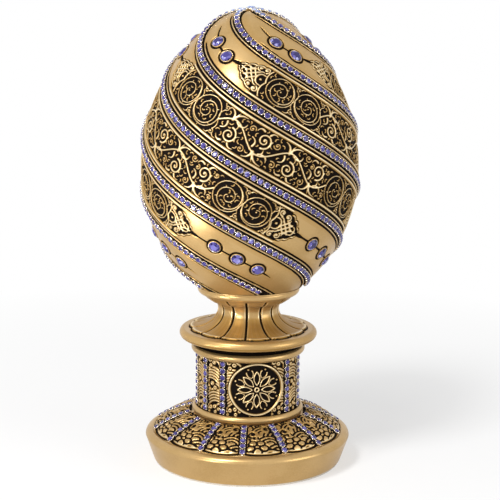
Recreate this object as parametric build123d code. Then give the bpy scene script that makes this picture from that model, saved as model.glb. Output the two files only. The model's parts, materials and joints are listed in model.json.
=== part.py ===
from build123d import *
import os
from math import atan, atan2, cos, hypot, pi, radians, sin, sqrt, tan

# Decorative egg on a stand, in millimetres. The origin is the centre of the underside, +Z is up and
# the front of the object faces -Y. Turns about the axis are counted from the front towards +X.

# Felt pad under the foot
pad_thickness = 0.8
pad_margin = 0.7

# Foot: a plain rim that tapers down, a shoulder line and a dome up to the drum
foot_height = 19.9
foot_rim_radius = 43.4
foot_rim_height = 10.1
foot_bottom_set = 3.4
foot_shoulder_set = 3.2
foot_shoulder_rise = 2.4
foot_dome_run = 16.2
foot_dome_bulge = 1.0
foot_cavity_radius = 34.0
foot_cavity_height = 9.0
foot_spigot_height = 3.0

# Drum: a straight wall between a lower ring and an upper collar
drum_height = 31.0
drum_radius = 21.4
drum_wall = 4.4
drum_top_plate = 5.0
drum_end_radius = 22.0
ring_radius = 23.6
ring_tube = 1.55
ring_rise = 1.8
collar_radius = 24.0
collar_tube = 1.55
collar_drop = 2.9

# Round plaque on the front of the drum
medallion_diameter = 22.6
medallion_proud = 0.4
medallion_sunk = 0.6

# Neck: a flange on the drum, a fluted waist and a cup for the egg
seat_height = 16.0
flange_radius = 29.0
flange_tube = 2.0
flange_rise = 3.4
flange_foot_radius = 22.2
flange_land = 1.8
waist_radius = 12.4
waist_height = 13.8
upper_flare_run = 3.2
upper_flare_rise = 4.0
lip_edge = 0.93
lip_tube = 2.0
lip_height = 22.4
flute_groove_depth = 0.5
flute_groove_width = 0.5
neck_spigot_radius = 9.0

# Egg: four arcs that run smoothly into each other
egg_radius = 45.1
egg_upper_side_arc = 73.6
egg_lower_side_arc = 65.0
egg_top_arc = 25.0
egg_bottom_arc = 35.0
egg_flat_rise = 3.4
egg_wall = 4.0
egg_boss_radius = 10.0
egg_boss_height = 14.0

# Threaded parts inside
rod_diameter = 6.0
rod_end_clearance = 1.0
insert_diameter = 9.0
insert_length = 11.0
insert_set = 1.0
washer_diameter = 12.0
washer_thickness = 1.6
nut_across_flats = 10.0
nut_thickness = 5.0

# Chain of small stones in cups, used on the egg, the drum and the foot
stone_diameter = 2.1
stone_girdle = 0.55
stone_crown = 0.4
cup_wall = 0.2
cup_floor = 0.2
cup_height = 0.65
chain_pitch = 2.9
facet_slope = 40.0

# Spiral rows on the egg: turn in degrees at the top, and what it gains evenly and ever faster on the
# way down the whole meridian
row_count = 6
row_turn_start = -53.3
row_turn_even = 328.9
row_turn_faster = 42.1
row_margin = 1.0

# Sunken field with pointed ends between two rows, and the raised borders along its upper and lower edge,
# in meridian distance from the top of the egg
border_place = 3.75
border_width = 1.0
border_height = 0.26
border_root = 0.8
upper_border_start = 36.5
upper_border_end = 93.6
lower_border_start = 52.5
lower_border_end = 112.2
border_sections = 20
field_margin = 4.5
field_depth = 0.35
field_start = 36.2
field_end = 107.4
field_start_point = 7.5
field_end_point = 4.6
field_tip_width = 0.5
field_cut_height = 1.5
field_sections = 15
field_crowding = 0.12
point_power = 1.6

# Larger stones in the plain gold, counted along the meridian from the top of the egg, and their share of
# the way from one row to the next
large_stone_diameter = 4.6
large_stone_girdle = 0.9
large_stone_crown = 0.7
large_stone_pocket = 0.7
upper_stone_start = 26.6
upper_stone_pitch = 7.0
upper_stone_count = 2
upper_stone_share = 0.41
lower_stone_start = 112.5
lower_stone_pitch = 5.6
lower_stone_count = 3
lower_stone_share = 0.5

# Stone and cup on the very top
crown_diameter = 4.0
crown_girdle = 0.7
crown_facet = 0.7

# Repeats around the stand; the stand is turned a little against the front
stand_count = 14
stand_turn = 10.0

# Clearances
fit_clearance = 0.2
seat_gap = 0.2
thread_clearance = 0.05
glue_gap = 0.04

# Heights that follow from the stack
foot_bottom_z = pad_thickness
foot_top_z = foot_bottom_z + foot_height
drum_top_z = foot_top_z + drum_height
egg_bottom_z = drum_top_z + seat_height

# Centres and meeting angles of the egg's arcs
bottom_rise = sqrt((egg_lower_side_arc - egg_bottom_arc) ** 2 - (egg_lower_side_arc - egg_radius) ** 2)
top_rise = sqrt((egg_upper_side_arc - egg_top_arc) ** 2 - (egg_upper_side_arc - egg_radius) ** 2)
egg_bottom_centre_z = egg_bottom_z + egg_bottom_arc
equator_z = egg_bottom_centre_z + bottom_rise
egg_top_centre_z = equator_z + top_rise
egg_top_z = egg_top_centre_z + egg_top_arc
upper_angle = atan2(top_rise, egg_upper_side_arc - egg_radius)
lower_angle = atan2(bottom_rise, egg_lower_side_arc - egg_radius)

# Each arc: centre radius, centre height, arc radius, first and last angle of its outward normal
egg_arcs = (
    (0.0, egg_top_centre_z, egg_top_arc, pi / 2, upper_angle),
    (egg_radius - egg_upper_side_arc, equator_z, egg_upper_side_arc, upper_angle, 0.0),
    (egg_radius - egg_lower_side_arc, equator_z, egg_lower_side_arc, 0.0, -lower_angle),
    (0.0, egg_bottom_centre_z, egg_bottom_arc, -lower_angle, -pi / 2),
)
meridian_length = sum(radius * (first - last) for _, _, radius, first, last in egg_arcs)
egg_base_z = egg_bottom_z + egg_flat_rise

rod_radius = rod_diameter / 2
rod_hole_radius = rod_radius + fit_clearance
cup_diameter = stone_diameter + 2 * (cup_wall + glue_gap)
bottom_up = (Align.CENTER, Align.CENTER, Align.MIN)


def spin(edges):
    """Solid of revolution from edges drawn in the XZ plane."""
    return revolve(make_face(edges), Axis.Z)


def outline(*points):
    """Straight edges through (radius, height) points."""
    return [Line((a[0], 0, a[1]), (b[0], 0, b[1])) for a, b in zip(points, points[1:])]


def arc(centre, radius, first, last):
    """Arc in the XZ plane about (radius, height), between two angles in radians."""
    points = []
    for angle in (first, (first + last) / 2, last):
        points.append((centre[0] + radius * cos(angle), 0, centre[1] + radius * sin(angle)))
    return ThreePointArc(*points)


def quarter_ellipse(centre, wide, high, first):
    """Quarter of an ellipse in the XZ plane about (radius, height), from an angle in degrees on."""
    curve = EllipticalCenterArc((0, 0), wide, high, start_angle=first)
    return Plane((centre[0], 0, centre[1]), x_dir=(1, 0, 0), z_dir=(0, -1, 0)) * curve


def turned(degrees):
    """Turn about the axis, counted from the front towards +X."""
    return Rot(0, 0, degrees)


def frame_on(radius, height, tilt, turn):
    """Place on a surface of revolution, with Z along the normal. Tilt is the normal's rise in radians."""
    swing = radians(turn)
    outward = Vector(sin(swing), -cos(swing), 0)
    normal = outward * cos(tilt) + Vector(0, 0, sin(tilt))
    place = outward * radius + Vector(0, 0, height)
    return Plane(place, x_dir=(cos(swing), sin(swing), 0), z_dir=normal).location


def egg_at(station):
    """Radius, height and normal angle of the egg at a distance along its meridian from the top."""
    for centre_r, centre_z, radius, first, last in egg_arcs:
        length = radius * (first - last)
        if station <= length:
            break
        station -= length
    angle = first - min(station, length) / radius
    return centre_r + radius * cos(angle), centre_z + radius * sin(angle), angle


def row_turn(station):
    """Turn of a spiral row at a distance along the meridian, in degrees."""
    share = station / meridian_length
    return row_turn_start + row_turn_even * share + row_turn_faster * share ** 2


def row_slope(station):
    """Turn in radians that a spiral row gains for each mm of meridian."""
    share = station / meridian_length
    return radians(row_turn_even + 2 * row_turn_faster * share) / meridian_length


def row_lean(station):
    """Angle between a spiral row and the meridian, in radians."""
    return atan(row_slope(station) * egg_at(station)[0])


def row_stations():
    """Meridian distances of the cups of one spiral row, a chain pitch apart along the row."""
    stations = []
    station = crown_diameter / 2 + cup_wall + cup_diameter / 2 + row_margin
    last_z = drum_top_z + lip_height + lip_tube + cup_diameter / 2
    while egg_at(station)[1] > last_z:
        stations.append(station)
        station += chain_pitch * cos(row_lean(station))
    return stations


def brilliant(diameter, girdle, crown):
    """Cut stone: a straight girdle with a tapered crown and a flat table."""
    table = diameter / 2 - crown * tan(radians(facet_slope))
    body = Cylinder(diameter / 2, girdle, align=bottom_up)
    return body + Pos(0, 0, girdle) * Cone(diameter / 2, table, crown, align=bottom_up)


def open_cup(inner_diameter, wall, floor, height):
    """Cup that holds a stone."""
    outer = Cylinder(inner_diameter / 2 + wall, height, align=bottom_up)
    return outer - Pos(0, 0, floor) * Cylinder(inner_diameter / 2, height, align=bottom_up)


def egg_solid(inset):
    """Egg moved inwards by a wall thickness."""
    edges = [arc(a[:2], a[2] - inset, a[3], a[4]) for a in egg_arcs]
    edges += outline((0, egg_bottom_z + inset), (0, egg_top_z - inset))
    return spin(edges)


def chain_set(places):
    """Cups and stones of the small chain at the given places, lifted by the glue under them."""
    cup = Pos(0, 0, glue_gap) * open_cup(stone_diameter + 2 * glue_gap, cup_wall, cup_floor, cup_height)
    stone = Pos(0, 0, 2 * glue_gap + cup_floor) * brilliant(stone_diameter, stone_girdle, stone_crown)
    return [place * cup for place in places], [place * stone for place in places]


def large_stone_places(start, pitch, count, share):
    """Places between the spiral rows, from a meridian distance on."""
    places = []
    for row in range(row_count):
        for n in range(count):
            station = start + pitch * n
            turn = row_turn(station) + 360 / row_count * (row + share)
            places.append(frame_on(*egg_at(station), turn))
    return places


def section_on(station, turn, points):
    """Closed outline across a spiral row; points are distances across the row and along the normal."""
    radius, height, tilt = egg_at(station)
    swing = radians(turn)
    lean = row_lean(station)
    outward = Vector(sin(swing), -cos(swing), 0)
    side = Vector(cos(swing), sin(swing), 0)
    normal = outward * cos(tilt) + Vector(0, 0, sin(tilt))
    down = outward * sin(tilt) - Vector(0, 0, cos(tilt))
    across = side * cos(lean) - down * sin(lean)
    place = outward * radius + Vector(0, 0, height)
    return [place + across * x + normal * y for x, y in points]


def border(row, way, start, end):
    """Raised border along a stretch of a row, on the side that way gives as -1 or 1."""
    foot = border_width / 2
    crest = border_width / 4
    points = ((-foot, -border_root), (foot, -border_root), (crest, border_height), (-crest, border_height))
    sections = []
    for n in range(border_sections):
        middle = start + (end - start) * n / (border_sections - 1)
        lean = row_lean(middle)
        station = middle - way * border_place * sin(lean)
        beside = way * border_place * cos(lean) / egg_at(station)[0] * 180 / pi
        turn = row_turn(middle) + 360 / row_count * row + beside
        sections.append(Wire.make_polygon(section_on(station, turn, points)))
    return Solid.make_loft(sections)


def field_half(station):
    """Half the width of a sunken field, which narrows to a point at both ends."""
    full = pi / row_count * egg_at(station)[0] * cos(row_lean(station)) - field_margin
    rise = min((station - field_start) / field_start_point, (field_end - station) / field_end_point, 1)
    return max(full * (1 - (1 - rise) ** point_power), field_tip_width / 2)


def field_drop(station, half):
    """Fall of the egg's surface from the middle of a field to its edge."""
    radius, height, tilt = egg_at(station)
    lean = row_lean(station)
    side_arc = egg_upper_side_arc if height > equator_z else egg_lower_side_arc
    return half ** 2 / 2 * (sin(lean) ** 2 / side_arc + cos(lean) ** 2 * cos(tilt) / radius)


def field(row):
    """Cut for the sunken field between a row and the next."""
    sections = []
    for n in range(field_sections):
        share = n / (field_sections - 1)
        share -= field_crowding * sin(2 * pi * share)
        station = field_start + (field_end - field_start) * share
        half = field_half(station)
        low = -field_depth - field_drop(station, half)
        high = field_cut_height
        points = ((-half, low), (0, -field_depth), (half, low), (half, high), (-half, high))
        turn = row_turn(station) + 360 / row_count * (row + 0.5)
        left, floor, right, right_top, left_top = section_on(station, turn, points)
        edges = [ThreePointArc(left, floor, right), Line(right, right_top), Line(right_top, left_top)]
        edges += [Line(left_top, left)]
        sections.append(Wire([curve.edge() for curve in edges]))
    return Solid.make_loft(sections)


nodes = {}

# Egg shell with its flat base and boss, the hole for the insert and the pockets of the larger stones
below_base = Cylinder(egg_radius, egg_base_z, align=bottom_up)
base_floor = egg_solid(0) & Pos(0, 0, egg_base_z) * Cylinder(egg_radius, egg_wall, align=bottom_up)
boss = Pos(0, 0, egg_base_z) * Cylinder(egg_boss_radius, egg_boss_height, align=bottom_up)
insert_hole = Pos(0, 0, egg_base_z) * Cylinder(
    insert_diameter / 2 + thread_clearance, egg_boss_height, align=bottom_up)
pocket = Pos(0, 0, -large_stone_pocket) * Cylinder(
    large_stone_diameter / 2 + fit_clearance, large_stone_crown + large_stone_girdle, align=bottom_up)
upper_places = large_stone_places(upper_stone_start, upper_stone_pitch, upper_stone_count, upper_stone_share)
lower_places = large_stone_places(lower_stone_start, lower_stone_pitch, lower_stone_count, lower_stone_share)
pockets = [place * pocket for place in upper_places + lower_places]
egg_shell = egg_solid(0) - egg_solid(egg_wall) - below_base + base_floor + boss - insert_hole - pockets
egg_shell -= [field(row) for row in range(row_count)]
borders = [border(row, -1, upper_border_start, upper_border_end) for row in range(row_count)]
borders += [border(row, 1, lower_border_start, lower_border_end) for row in range(row_count)]
nodes["egg_shell"] = egg_shell + borders

# Spiral rows
stations = row_stations()
for row in range(row_count):
    places = [frame_on(*egg_at(s), row_turn(s) + 360 / row_count * row) for s in stations]
    cups, stones = chain_set(places)
    nodes[f"egg_row_cups_{row + 1}"] = Compound(cups)
    nodes[f"egg_row_stones_{row + 1}"] = Compound(stones)

# Larger stones, each on the floor of its pocket
large_stone = Pos(0, 0, glue_gap - large_stone_pocket) * brilliant(
    large_stone_diameter, large_stone_girdle, large_stone_crown)
nodes["egg_upper_stones"] = Compound([place * large_stone for place in upper_places])
nodes["egg_lower_stones"] = Compound([place * large_stone for place in lower_places])

# Crown stone
crown_seat_z = egg_top_z + glue_gap
nodes["crown_cup"] = Pos(0, 0, crown_seat_z) * open_cup(
    crown_diameter + 2 * glue_gap, cup_wall, cup_floor, cup_floor + crown_girdle)
nodes["crown_stone"] = Pos(0, 0, crown_seat_z + cup_floor + glue_gap) * brilliant(
    crown_diameter, crown_girdle, crown_facet)

# Neck: flange, waist between two quarter ellipses, and the lip that hugs the egg above its flat seat
waist_z = drum_top_z + waist_height
lip_z = drum_top_z + lip_height
flange_z = drum_top_z + flange_rise
flange_top_z = flange_z + flange_tube
flange_centre = flange_radius - flange_tube
flute_end_radius = flange_centre - flange_land
seat_radius = egg_bottom_arc + seat_gap
lip_radius = sqrt(seat_radius ** 2 - (egg_bottom_centre_z - lip_z) ** 2) + lip_edge
lip_centre = lip_radius - lip_tube
upper_flare_end = waist_radius + upper_flare_run
flare_top_z = waist_z + upper_flare_rise
spigot_bottom_z = drum_top_z - drum_top_plate + fit_clearance
lower_flare = (flute_end_radius - waist_radius, waist_z - flange_top_z)
upper_flare = (upper_flare_run, upper_flare_rise)
neck_edges = outline(
    (0, spigot_bottom_z), (neck_spigot_radius, spigot_bottom_z), (neck_spigot_radius, drum_top_z),
    (flange_foot_radius, drum_top_z), (flange_foot_radius, flange_z - flange_tube),
    (flange_centre, flange_z - flange_tube))
neck_edges += [arc((flange_centre, flange_z), flange_tube, -pi / 2, pi / 2)]
neck_edges += outline((flange_centre, flange_top_z), (flute_end_radius, flange_top_z))
neck_edges += [quarter_ellipse((flute_end_radius, waist_z), *lower_flare, 180)]
neck_edges += [quarter_ellipse((upper_flare_end, waist_z), *upper_flare, 90)]
neck_edges += outline((upper_flare_end, flare_top_z), (lip_centre, lip_z - lip_tube))
neck_edges += [arc((lip_centre, lip_z), lip_tube, -pi / 2, pi / 2)]
neck_edges += outline((lip_centre, lip_z + lip_tube), (0, lip_z + lip_tube), (0, spigot_bottom_z))
seat = Pos(0, 0, egg_bottom_centre_z) * Sphere(seat_radius)
seat -= Cylinder(seat_radius, egg_base_z - seat_gap, align=bottom_up)
rod_hole = Cylinder(rod_hole_radius, egg_base_z, align=bottom_up)
neck = spin(neck_edges) - seat - rod_hole

# Grooves between the flutes, from the flange up to the end of the upper flare
inner_upper_end = upper_flare_end - flute_groove_depth
inner_lower_end = flute_end_radius - flute_groove_depth
groove_edges = [quarter_ellipse((flute_end_radius, waist_z), *lower_flare, 180)]
groove_edges += [quarter_ellipse((upper_flare_end, waist_z), *upper_flare, 90)]
groove_edges += outline((upper_flare_end, flare_top_z), (inner_upper_end, flare_top_z))
groove_edges += [quarter_ellipse((inner_upper_end, waist_z), *upper_flare, 90)]
groove_edges += [quarter_ellipse((inner_lower_end, waist_z), *lower_flare, 180)]
groove_edges += outline((inner_lower_end, flange_top_z), (flute_end_radius, flange_top_z))
groove_arc = flute_groove_width / waist_radius * 180 / pi
groove = revolve(make_face(groove_edges), Axis.Z, revolution_arc=groove_arc)
step = 360 / stand_count
groove_start = stand_turn + step / 2 - groove_arc / 2 - 90
nodes["neck"] = neck - [turned(groove_start + step * n) * groove for n in range(stand_count)]

# Drum with its ring, collar, the bore that fits over the foot and the socket for the neck
ring_z = foot_top_z + ring_rise
collar_z = drum_top_z - collar_drop
bore_radius = drum_radius - drum_wall
drum = Pos(0, 0, foot_top_z) * Cylinder(drum_radius, drum_height, align=bottom_up)
drum += Pos(0, 0, collar_z) * Cylinder(drum_end_radius, collar_drop, align=bottom_up)
drum += Pos(0, 0, foot_top_z) * Cylinder(drum_end_radius, ring_rise, align=bottom_up)
drum += Pos(0, 0, ring_z) * Torus(ring_radius - ring_tube, ring_tube)
drum += Pos(0, 0, collar_z) * Torus(collar_radius - collar_tube, collar_tube)
drum -= Pos(0, 0, foot_top_z) * Cylinder(bore_radius, drum_height - drum_top_plate, align=bottom_up)
drum -= Pos(0, 0, foot_top_z) * Cylinder(neck_spigot_radius + fit_clearance, drum_height, align=bottom_up)

# Plaque on the drum: a round piece of a thin cylinder wall, let into the drum
wall_low_z = ring_z + ring_tube
wall_high_z = collar_z - collar_tube
wall_middle_z = (wall_low_z + wall_high_z) / 2


def plaque(diameter, inside, outside):
    """Round piece of the cylinder wall between two radii, on the front of the drum."""
    height = wall_high_z - wall_low_z
    shell = Pos(0, 0, wall_middle_z) * (Cylinder(outside, height) - Cylinder(inside, height))
    punch = Plane((0, 0, wall_middle_z), x_dir=(1, 0, 0), z_dir=(0, -1, 0)) * Cylinder(
        diameter / 2, 2 * outside, align=bottom_up)
    return turned(stand_turn) * (shell & punch)


plaque_back = drum_radius - medallion_sunk
drum -= plaque(medallion_diameter + 2 * fit_clearance, plaque_back, drum_radius + medallion_proud)
nodes["medallion"] = plaque(medallion_diameter, plaque_back + glue_gap, drum_radius + medallion_proud)

# Upright rows on the drum, each in a flat channel, left out where the plaque is
channel_floor = sqrt(drum_radius ** 2 - (cup_diameter / 2) ** 2) - cup_floor
channel = Pos(channel_floor, 0, wall_middle_z) * Box(
    drum_radius, cup_diameter + 2 * fit_clearance, wall_high_z - wall_low_z,
    align=(Align.MIN, Align.CENTER, Align.CENTER))
plaque_reach = atan2(medallion_diameter / 2, drum_radius) * 180 / pi
drum_stone_count = int((wall_high_z - wall_low_z - cup_diameter) / chain_pitch) + 1
drum_row_turns = []
for n in range(stand_count):
    offset = step * (n + 0.5)
    if min(offset, 360 - offset) > plaque_reach:
        drum_row_turns.append(stand_turn + offset)
drum -= [turned(turn - 90) * channel for turn in drum_row_turns]
nodes["drum"] = drum
drum_places = []
for turn in drum_row_turns:
    for n in range(drum_stone_count):
        height = wall_middle_z + chain_pitch * (n - (drum_stone_count - 1) / 2)
        drum_places.append(frame_on(channel_floor, height, 0, turn))
cups, stones = chain_set(drum_places)
nodes["drum_row_cups"] = Compound(cups)
nodes["drum_row_stones"] = Compound(stones)

# Foot: rim, dome, the hollow for the nut and the spigot that locates the drum
rim_z = foot_bottom_z + foot_rim_height
shoulder_z = rim_z + foot_shoulder_rise
foot_bottom_radius = foot_rim_radius - foot_bottom_set
foot_shoulder_radius = foot_rim_radius - foot_shoulder_set
foot_top_radius = foot_shoulder_radius - foot_dome_run
dome_fall = foot_top_z - shoulder_z
dome_chord = hypot(foot_dome_run, dome_fall)
dome_radius = (dome_chord ** 2 / 4 + foot_dome_bulge ** 2) / (2 * foot_dome_bulge)
dome_tilt = atan2(foot_dome_run, dome_fall)
dome_offset = dome_radius - foot_dome_bulge
dome_centre_r = (foot_shoulder_radius + foot_top_radius) / 2 - dome_offset * cos(dome_tilt)
dome_centre_z = (shoulder_z + foot_top_z) / 2 - dome_offset * sin(dome_tilt)
dome_first = atan2(foot_top_z - dome_centre_z, foot_top_radius - dome_centre_r)
dome_last = atan2(shoulder_z - dome_centre_z, foot_shoulder_radius - dome_centre_r)
rim_roll = (foot_shoulder_set, foot_shoulder_rise)
foot_edges = outline((0, foot_bottom_z), (foot_bottom_radius, foot_bottom_z), (foot_rim_radius, rim_z))
foot_edges += [quarter_ellipse((foot_shoulder_radius, rim_z), *rim_roll, 0)]
foot_edges += [arc((dome_centre_r, dome_centre_z), dome_radius, dome_last, dome_first)]
foot_edges += outline((foot_top_radius, foot_top_z), (0, foot_top_z), (0, foot_bottom_z))
cavity_z = foot_bottom_z + foot_cavity_height
foot = spin(foot_edges) - Pos(0, 0, foot_bottom_z) * Cylinder(
    foot_cavity_radius, foot_cavity_height, align=bottom_up)
foot += Pos(0, 0, foot_top_z) * Cylinder(bore_radius - fit_clearance, foot_spigot_height, align=bottom_up)
nodes["foot"] = foot - rod_hole

# Radial rows on the dome
dome_length = dome_radius * (dome_first - dome_last)
foot_stone_count = int((dome_length - cup_diameter) / chain_pitch) + 1
foot_places = []
for n in range(stand_count):
    for k in range(foot_stone_count):
        along = dome_length / 2 + chain_pitch * (k - (foot_stone_count - 1) / 2)
        angle = dome_first - along / dome_radius
        radius = dome_centre_r + dome_radius * cos(angle)
        height = dome_centre_z + dome_radius * sin(angle)
        foot_places.append(frame_on(radius, height, angle, stand_turn + step * (n + 0.5)))
cups, stones = chain_set(foot_places)
nodes["foot_row_cups"] = Compound(cups)
nodes["foot_row_stones"] = Compound(stones)

# Pad
nodes["felt_pad"] = Cylinder(foot_bottom_radius - pad_margin, pad_thickness, align=bottom_up)

# Threaded insert, rod, washer and nut
insert_z = egg_base_z + insert_set
nodes["egg_insert"] = Pos(0, 0, insert_z) * (
    Cylinder(insert_diameter / 2, insert_length, align=bottom_up)
    - Cylinder(rod_radius + thread_clearance, insert_length, align=bottom_up))
washer_z = cavity_z - washer_thickness
nut_z = washer_z - nut_thickness
rod_bottom_z = nut_z - rod_end_clearance
rod_length = insert_z + insert_length - rod_end_clearance - rod_bottom_z
nodes["tie_rod"] = Pos(0, 0, rod_bottom_z) * Cylinder(rod_radius, rod_length, align=bottom_up)
nodes["rod_washer"] = Pos(0, 0, washer_z) * (
    Cylinder(washer_diameter / 2, washer_thickness, align=bottom_up)
    - Cylinder(rod_hole_radius, washer_thickness, align=bottom_up))
nut_corner = nut_across_flats / 2 / cos(pi / 6)
nodes["rod_nut"] = Pos(0, 0, nut_z) * (
    extrude(RegularPolygon(nut_corner, 6), nut_thickness)
    - Cylinder(rod_radius + thread_clearance, nut_thickness, align=bottom_up))

os.makedirs("parts", exist_ok=True)
for name, shape in nodes.items():
    export_step(shape, f"parts/{name}.step")
    print(name, len(shape.solids()), "solids", round(shape.volume, 1), "mm3")
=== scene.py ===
import json
from math import atan2, cos, hypot, pi, radians, sin, sqrt

import bpy
import numpy as np
from mathutils import Matrix, Vector

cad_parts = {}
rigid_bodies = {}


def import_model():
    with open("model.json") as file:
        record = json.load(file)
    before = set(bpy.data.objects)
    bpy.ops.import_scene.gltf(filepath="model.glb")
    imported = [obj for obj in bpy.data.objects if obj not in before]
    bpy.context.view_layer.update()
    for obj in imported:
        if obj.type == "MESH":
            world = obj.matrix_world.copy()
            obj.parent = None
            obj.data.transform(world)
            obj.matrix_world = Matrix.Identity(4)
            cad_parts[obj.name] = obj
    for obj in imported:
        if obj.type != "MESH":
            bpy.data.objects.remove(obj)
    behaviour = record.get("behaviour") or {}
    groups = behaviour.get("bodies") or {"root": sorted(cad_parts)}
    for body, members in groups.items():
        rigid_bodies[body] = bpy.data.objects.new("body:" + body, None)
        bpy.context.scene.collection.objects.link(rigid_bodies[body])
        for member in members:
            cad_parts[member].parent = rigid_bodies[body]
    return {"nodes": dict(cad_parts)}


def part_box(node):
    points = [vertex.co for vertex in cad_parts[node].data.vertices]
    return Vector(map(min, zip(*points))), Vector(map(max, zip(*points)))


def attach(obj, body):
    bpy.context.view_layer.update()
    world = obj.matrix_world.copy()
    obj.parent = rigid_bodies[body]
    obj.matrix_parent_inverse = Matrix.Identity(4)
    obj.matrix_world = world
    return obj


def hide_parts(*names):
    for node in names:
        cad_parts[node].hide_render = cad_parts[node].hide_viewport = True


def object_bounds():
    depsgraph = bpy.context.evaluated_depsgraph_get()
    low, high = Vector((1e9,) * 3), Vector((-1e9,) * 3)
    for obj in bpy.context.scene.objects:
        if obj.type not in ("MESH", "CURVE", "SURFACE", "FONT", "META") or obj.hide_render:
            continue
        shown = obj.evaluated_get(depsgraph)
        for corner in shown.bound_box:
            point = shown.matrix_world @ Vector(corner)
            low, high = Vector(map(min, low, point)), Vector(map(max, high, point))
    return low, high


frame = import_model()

# Decorative egg on a stand. Sizes are in millimetres and turned into metres where a mesh is made.
# Turns about the axis are counted from the front, -Y, towards +X.
cad_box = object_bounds()
MM = 0.001


def heights(node):
    """Lowest and highest height of a node, in millimetres."""
    low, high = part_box(node)
    return low[2] / MM, high[2] / MM


# Egg: radii of the four arcs, with the place from the frame
egg_base_z, egg_top_z = heights("egg_shell")
egg_radius = 45.1
egg_upper_side_arc = 73.6
egg_lower_side_arc = 65.0
egg_top_arc = 25.0
egg_bottom_arc = 35.0
egg_wall = 4.0
egg_boss_radius = 10.0
egg_boss_height = 14.0
insert_hole_radius = 4.55

# Spiral rows: turns in degrees, and the first stone in meridian distance from the top
row_count = 6
row_step = 2 * pi / row_count
row_turn_start = -53.3
row_turn_even = 328.9
row_turn_faster = 42.1
row_first_station = 4.49
row_lowest_z = 77.39
chain_pitch = 2.9
glue_gap = 0.04

# Bands between the rows: distances from the middle of a row, across it, then heights and depths
rail_place = 2.1
rail_half = 0.3
border_place = 3.75
border_half = 0.42
field_edge = 4.3
strap_place = 0.75
strap_half = 0.36
field_margin = 0.2
strap_room = 1.0
rail_top = 0.2
border_top = 0.34
groove_depth = 0.4
channel_depth = 0.06
trench_depth = 0.25
field_depth = 0.55
relief_height = 0.52
hairline_depth = 0.35
bezel_top = 0.3
stone_ring_depth = 0.35

# Where rails, fields and the line through the larger stones run, in meridian distance from the top
band_top_station = 1.6
band_end_gap = 0.15
left_rail_start = 24.0
right_rail_start = 7.0
rail_fade = 9.0
border_fade = 2.5
field_top_station = 36.2
field_end_station = 107.4
field_top_point = 11.8
field_end_point = 8.6
end_length = 14.0
scroll_pitch = 10.6
hairline_half = 0.42
hairline_flare = 0.4
hairline_top = (17.8, 0.515)
hairline_end = (129.0, 0.46)
upper_stones = ((26.6, 0.41), (33.6, 0.41))
lower_stones = ((112.5, 0.5), (118.1, 0.5), (123.7, 0.5))
large_stone_radius = 2.4
bezel_place = 2.55
bezel_half = 0.2
stone_ring_radius = 3.1
stone_ring_half = 0.54
crown_radius = 2.0

# Painted shade in amber beside the borders, beside the line and low on the egg, as shares of full patina
border_painted_shade = 0.09
hairline_painted_shade = 0.07
low_painted_shade = 0.06
low_painted_shade_start = 114.0
low_painted_shade_end = 130.0

# Stand: heights from the frame, radii as built
stand_count = 14
stand_step = 2 * pi / stand_count
stand_turn = radians(10.0)
drum_low_z, drum_high_z = heights("drum")
drum_radius = 21.4
drum_bore = 17.0
drum_end_radius = 22.0
ring_z = drum_low_z + 1.8
ring_radius = 23.6
collar_z = drum_high_z - 2.9
collar_radius = 24.0
bead_tube = 1.55
wall_low_z = ring_z + bead_tube
wall_high_z = collar_z - bead_tube
wall_middle_z = (wall_low_z + wall_high_z) / 2
drum_stone_count = 8
drum_channel_floor = 21.16
drum_relief_height = 0.62
drum_ground_depth = 0.42
socket_depth = 5.0
socket_gap = 0.2
medallion_radius = 11.3
medallion_ground = 21.5
medallion_back = 20.84
medallion_bead = 0.5
medallion_bead_top = 0.75
medallion_relief = 0.55
flange_z = drum_high_z + 3.4
flange_radius = 29.0
flange_tube = 2.0
flange_line_drop = 0.9
flange_foot_radius = 22.2
flute_end_radius = 25.2
waist_z = drum_high_z + 13.8
waist_radius = 12.4
upper_flare_run = 3.2
upper_flare_rise = 4.0
lip_z = drum_high_z + 22.4
lip_radius = 21.45
lip_tube = 2.0
seat_gap = 0.2
petal_inset = 0.5
petal_lobe = 1.1
petal_swell = 0.45
petal_end_swell = 0.4
petal_groove_depth = 0.45
# Share of painted shade below the neck's waist, standing in for its darker reflection
petal_painted_shade = 0.23
neck_spigot_radius = 9.0
neck_spigot_low_z = heights("neck")[0]
rod_hole_radius = 3.2
foot_bottom_z, foot_spigot_z = heights("foot")
foot_top_z = drum_low_z
foot_rim_radius = 43.4
foot_rim_z = foot_bottom_z + 10.1
foot_bottom_radius = 40.0
foot_heel = 0.5
foot_shoulder_radius = 40.2
foot_shoulder_rise = 2.4
foot_top_radius = 24.0
foot_dome_bulge = 1.0
foot_skin = 0.6
foot_skin_gap = 0.05
foot_cavity_radius = 34.0
foot_cavity_z = foot_bottom_z + 9.0
foot_spigot_radius = 16.8
foot_stone_count = 6
foot_panel_half = 5.0
foot_panel_length = 18.0
foot_scale = 0.8
foot_cushion = 0.9
foot_line_depth = 0.5
foot_amber = 0.15

# Share of its radius that a volute loses on the way in
volute_pull = 0.86

# Fineness of the meshes and of the drawn ornament
canvas_step = 0.08
half_rows = 650
rail_columns = 34
field_columns = 82
stand_columns = 48 * stand_count
dome_columns = 90 * stand_count
dome_rows = 72
core_rows = 12
skin_rows = 6
foot_columns = 256
base_columns = 64
medallion_rings = 110
medallion_spokes = 240

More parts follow.
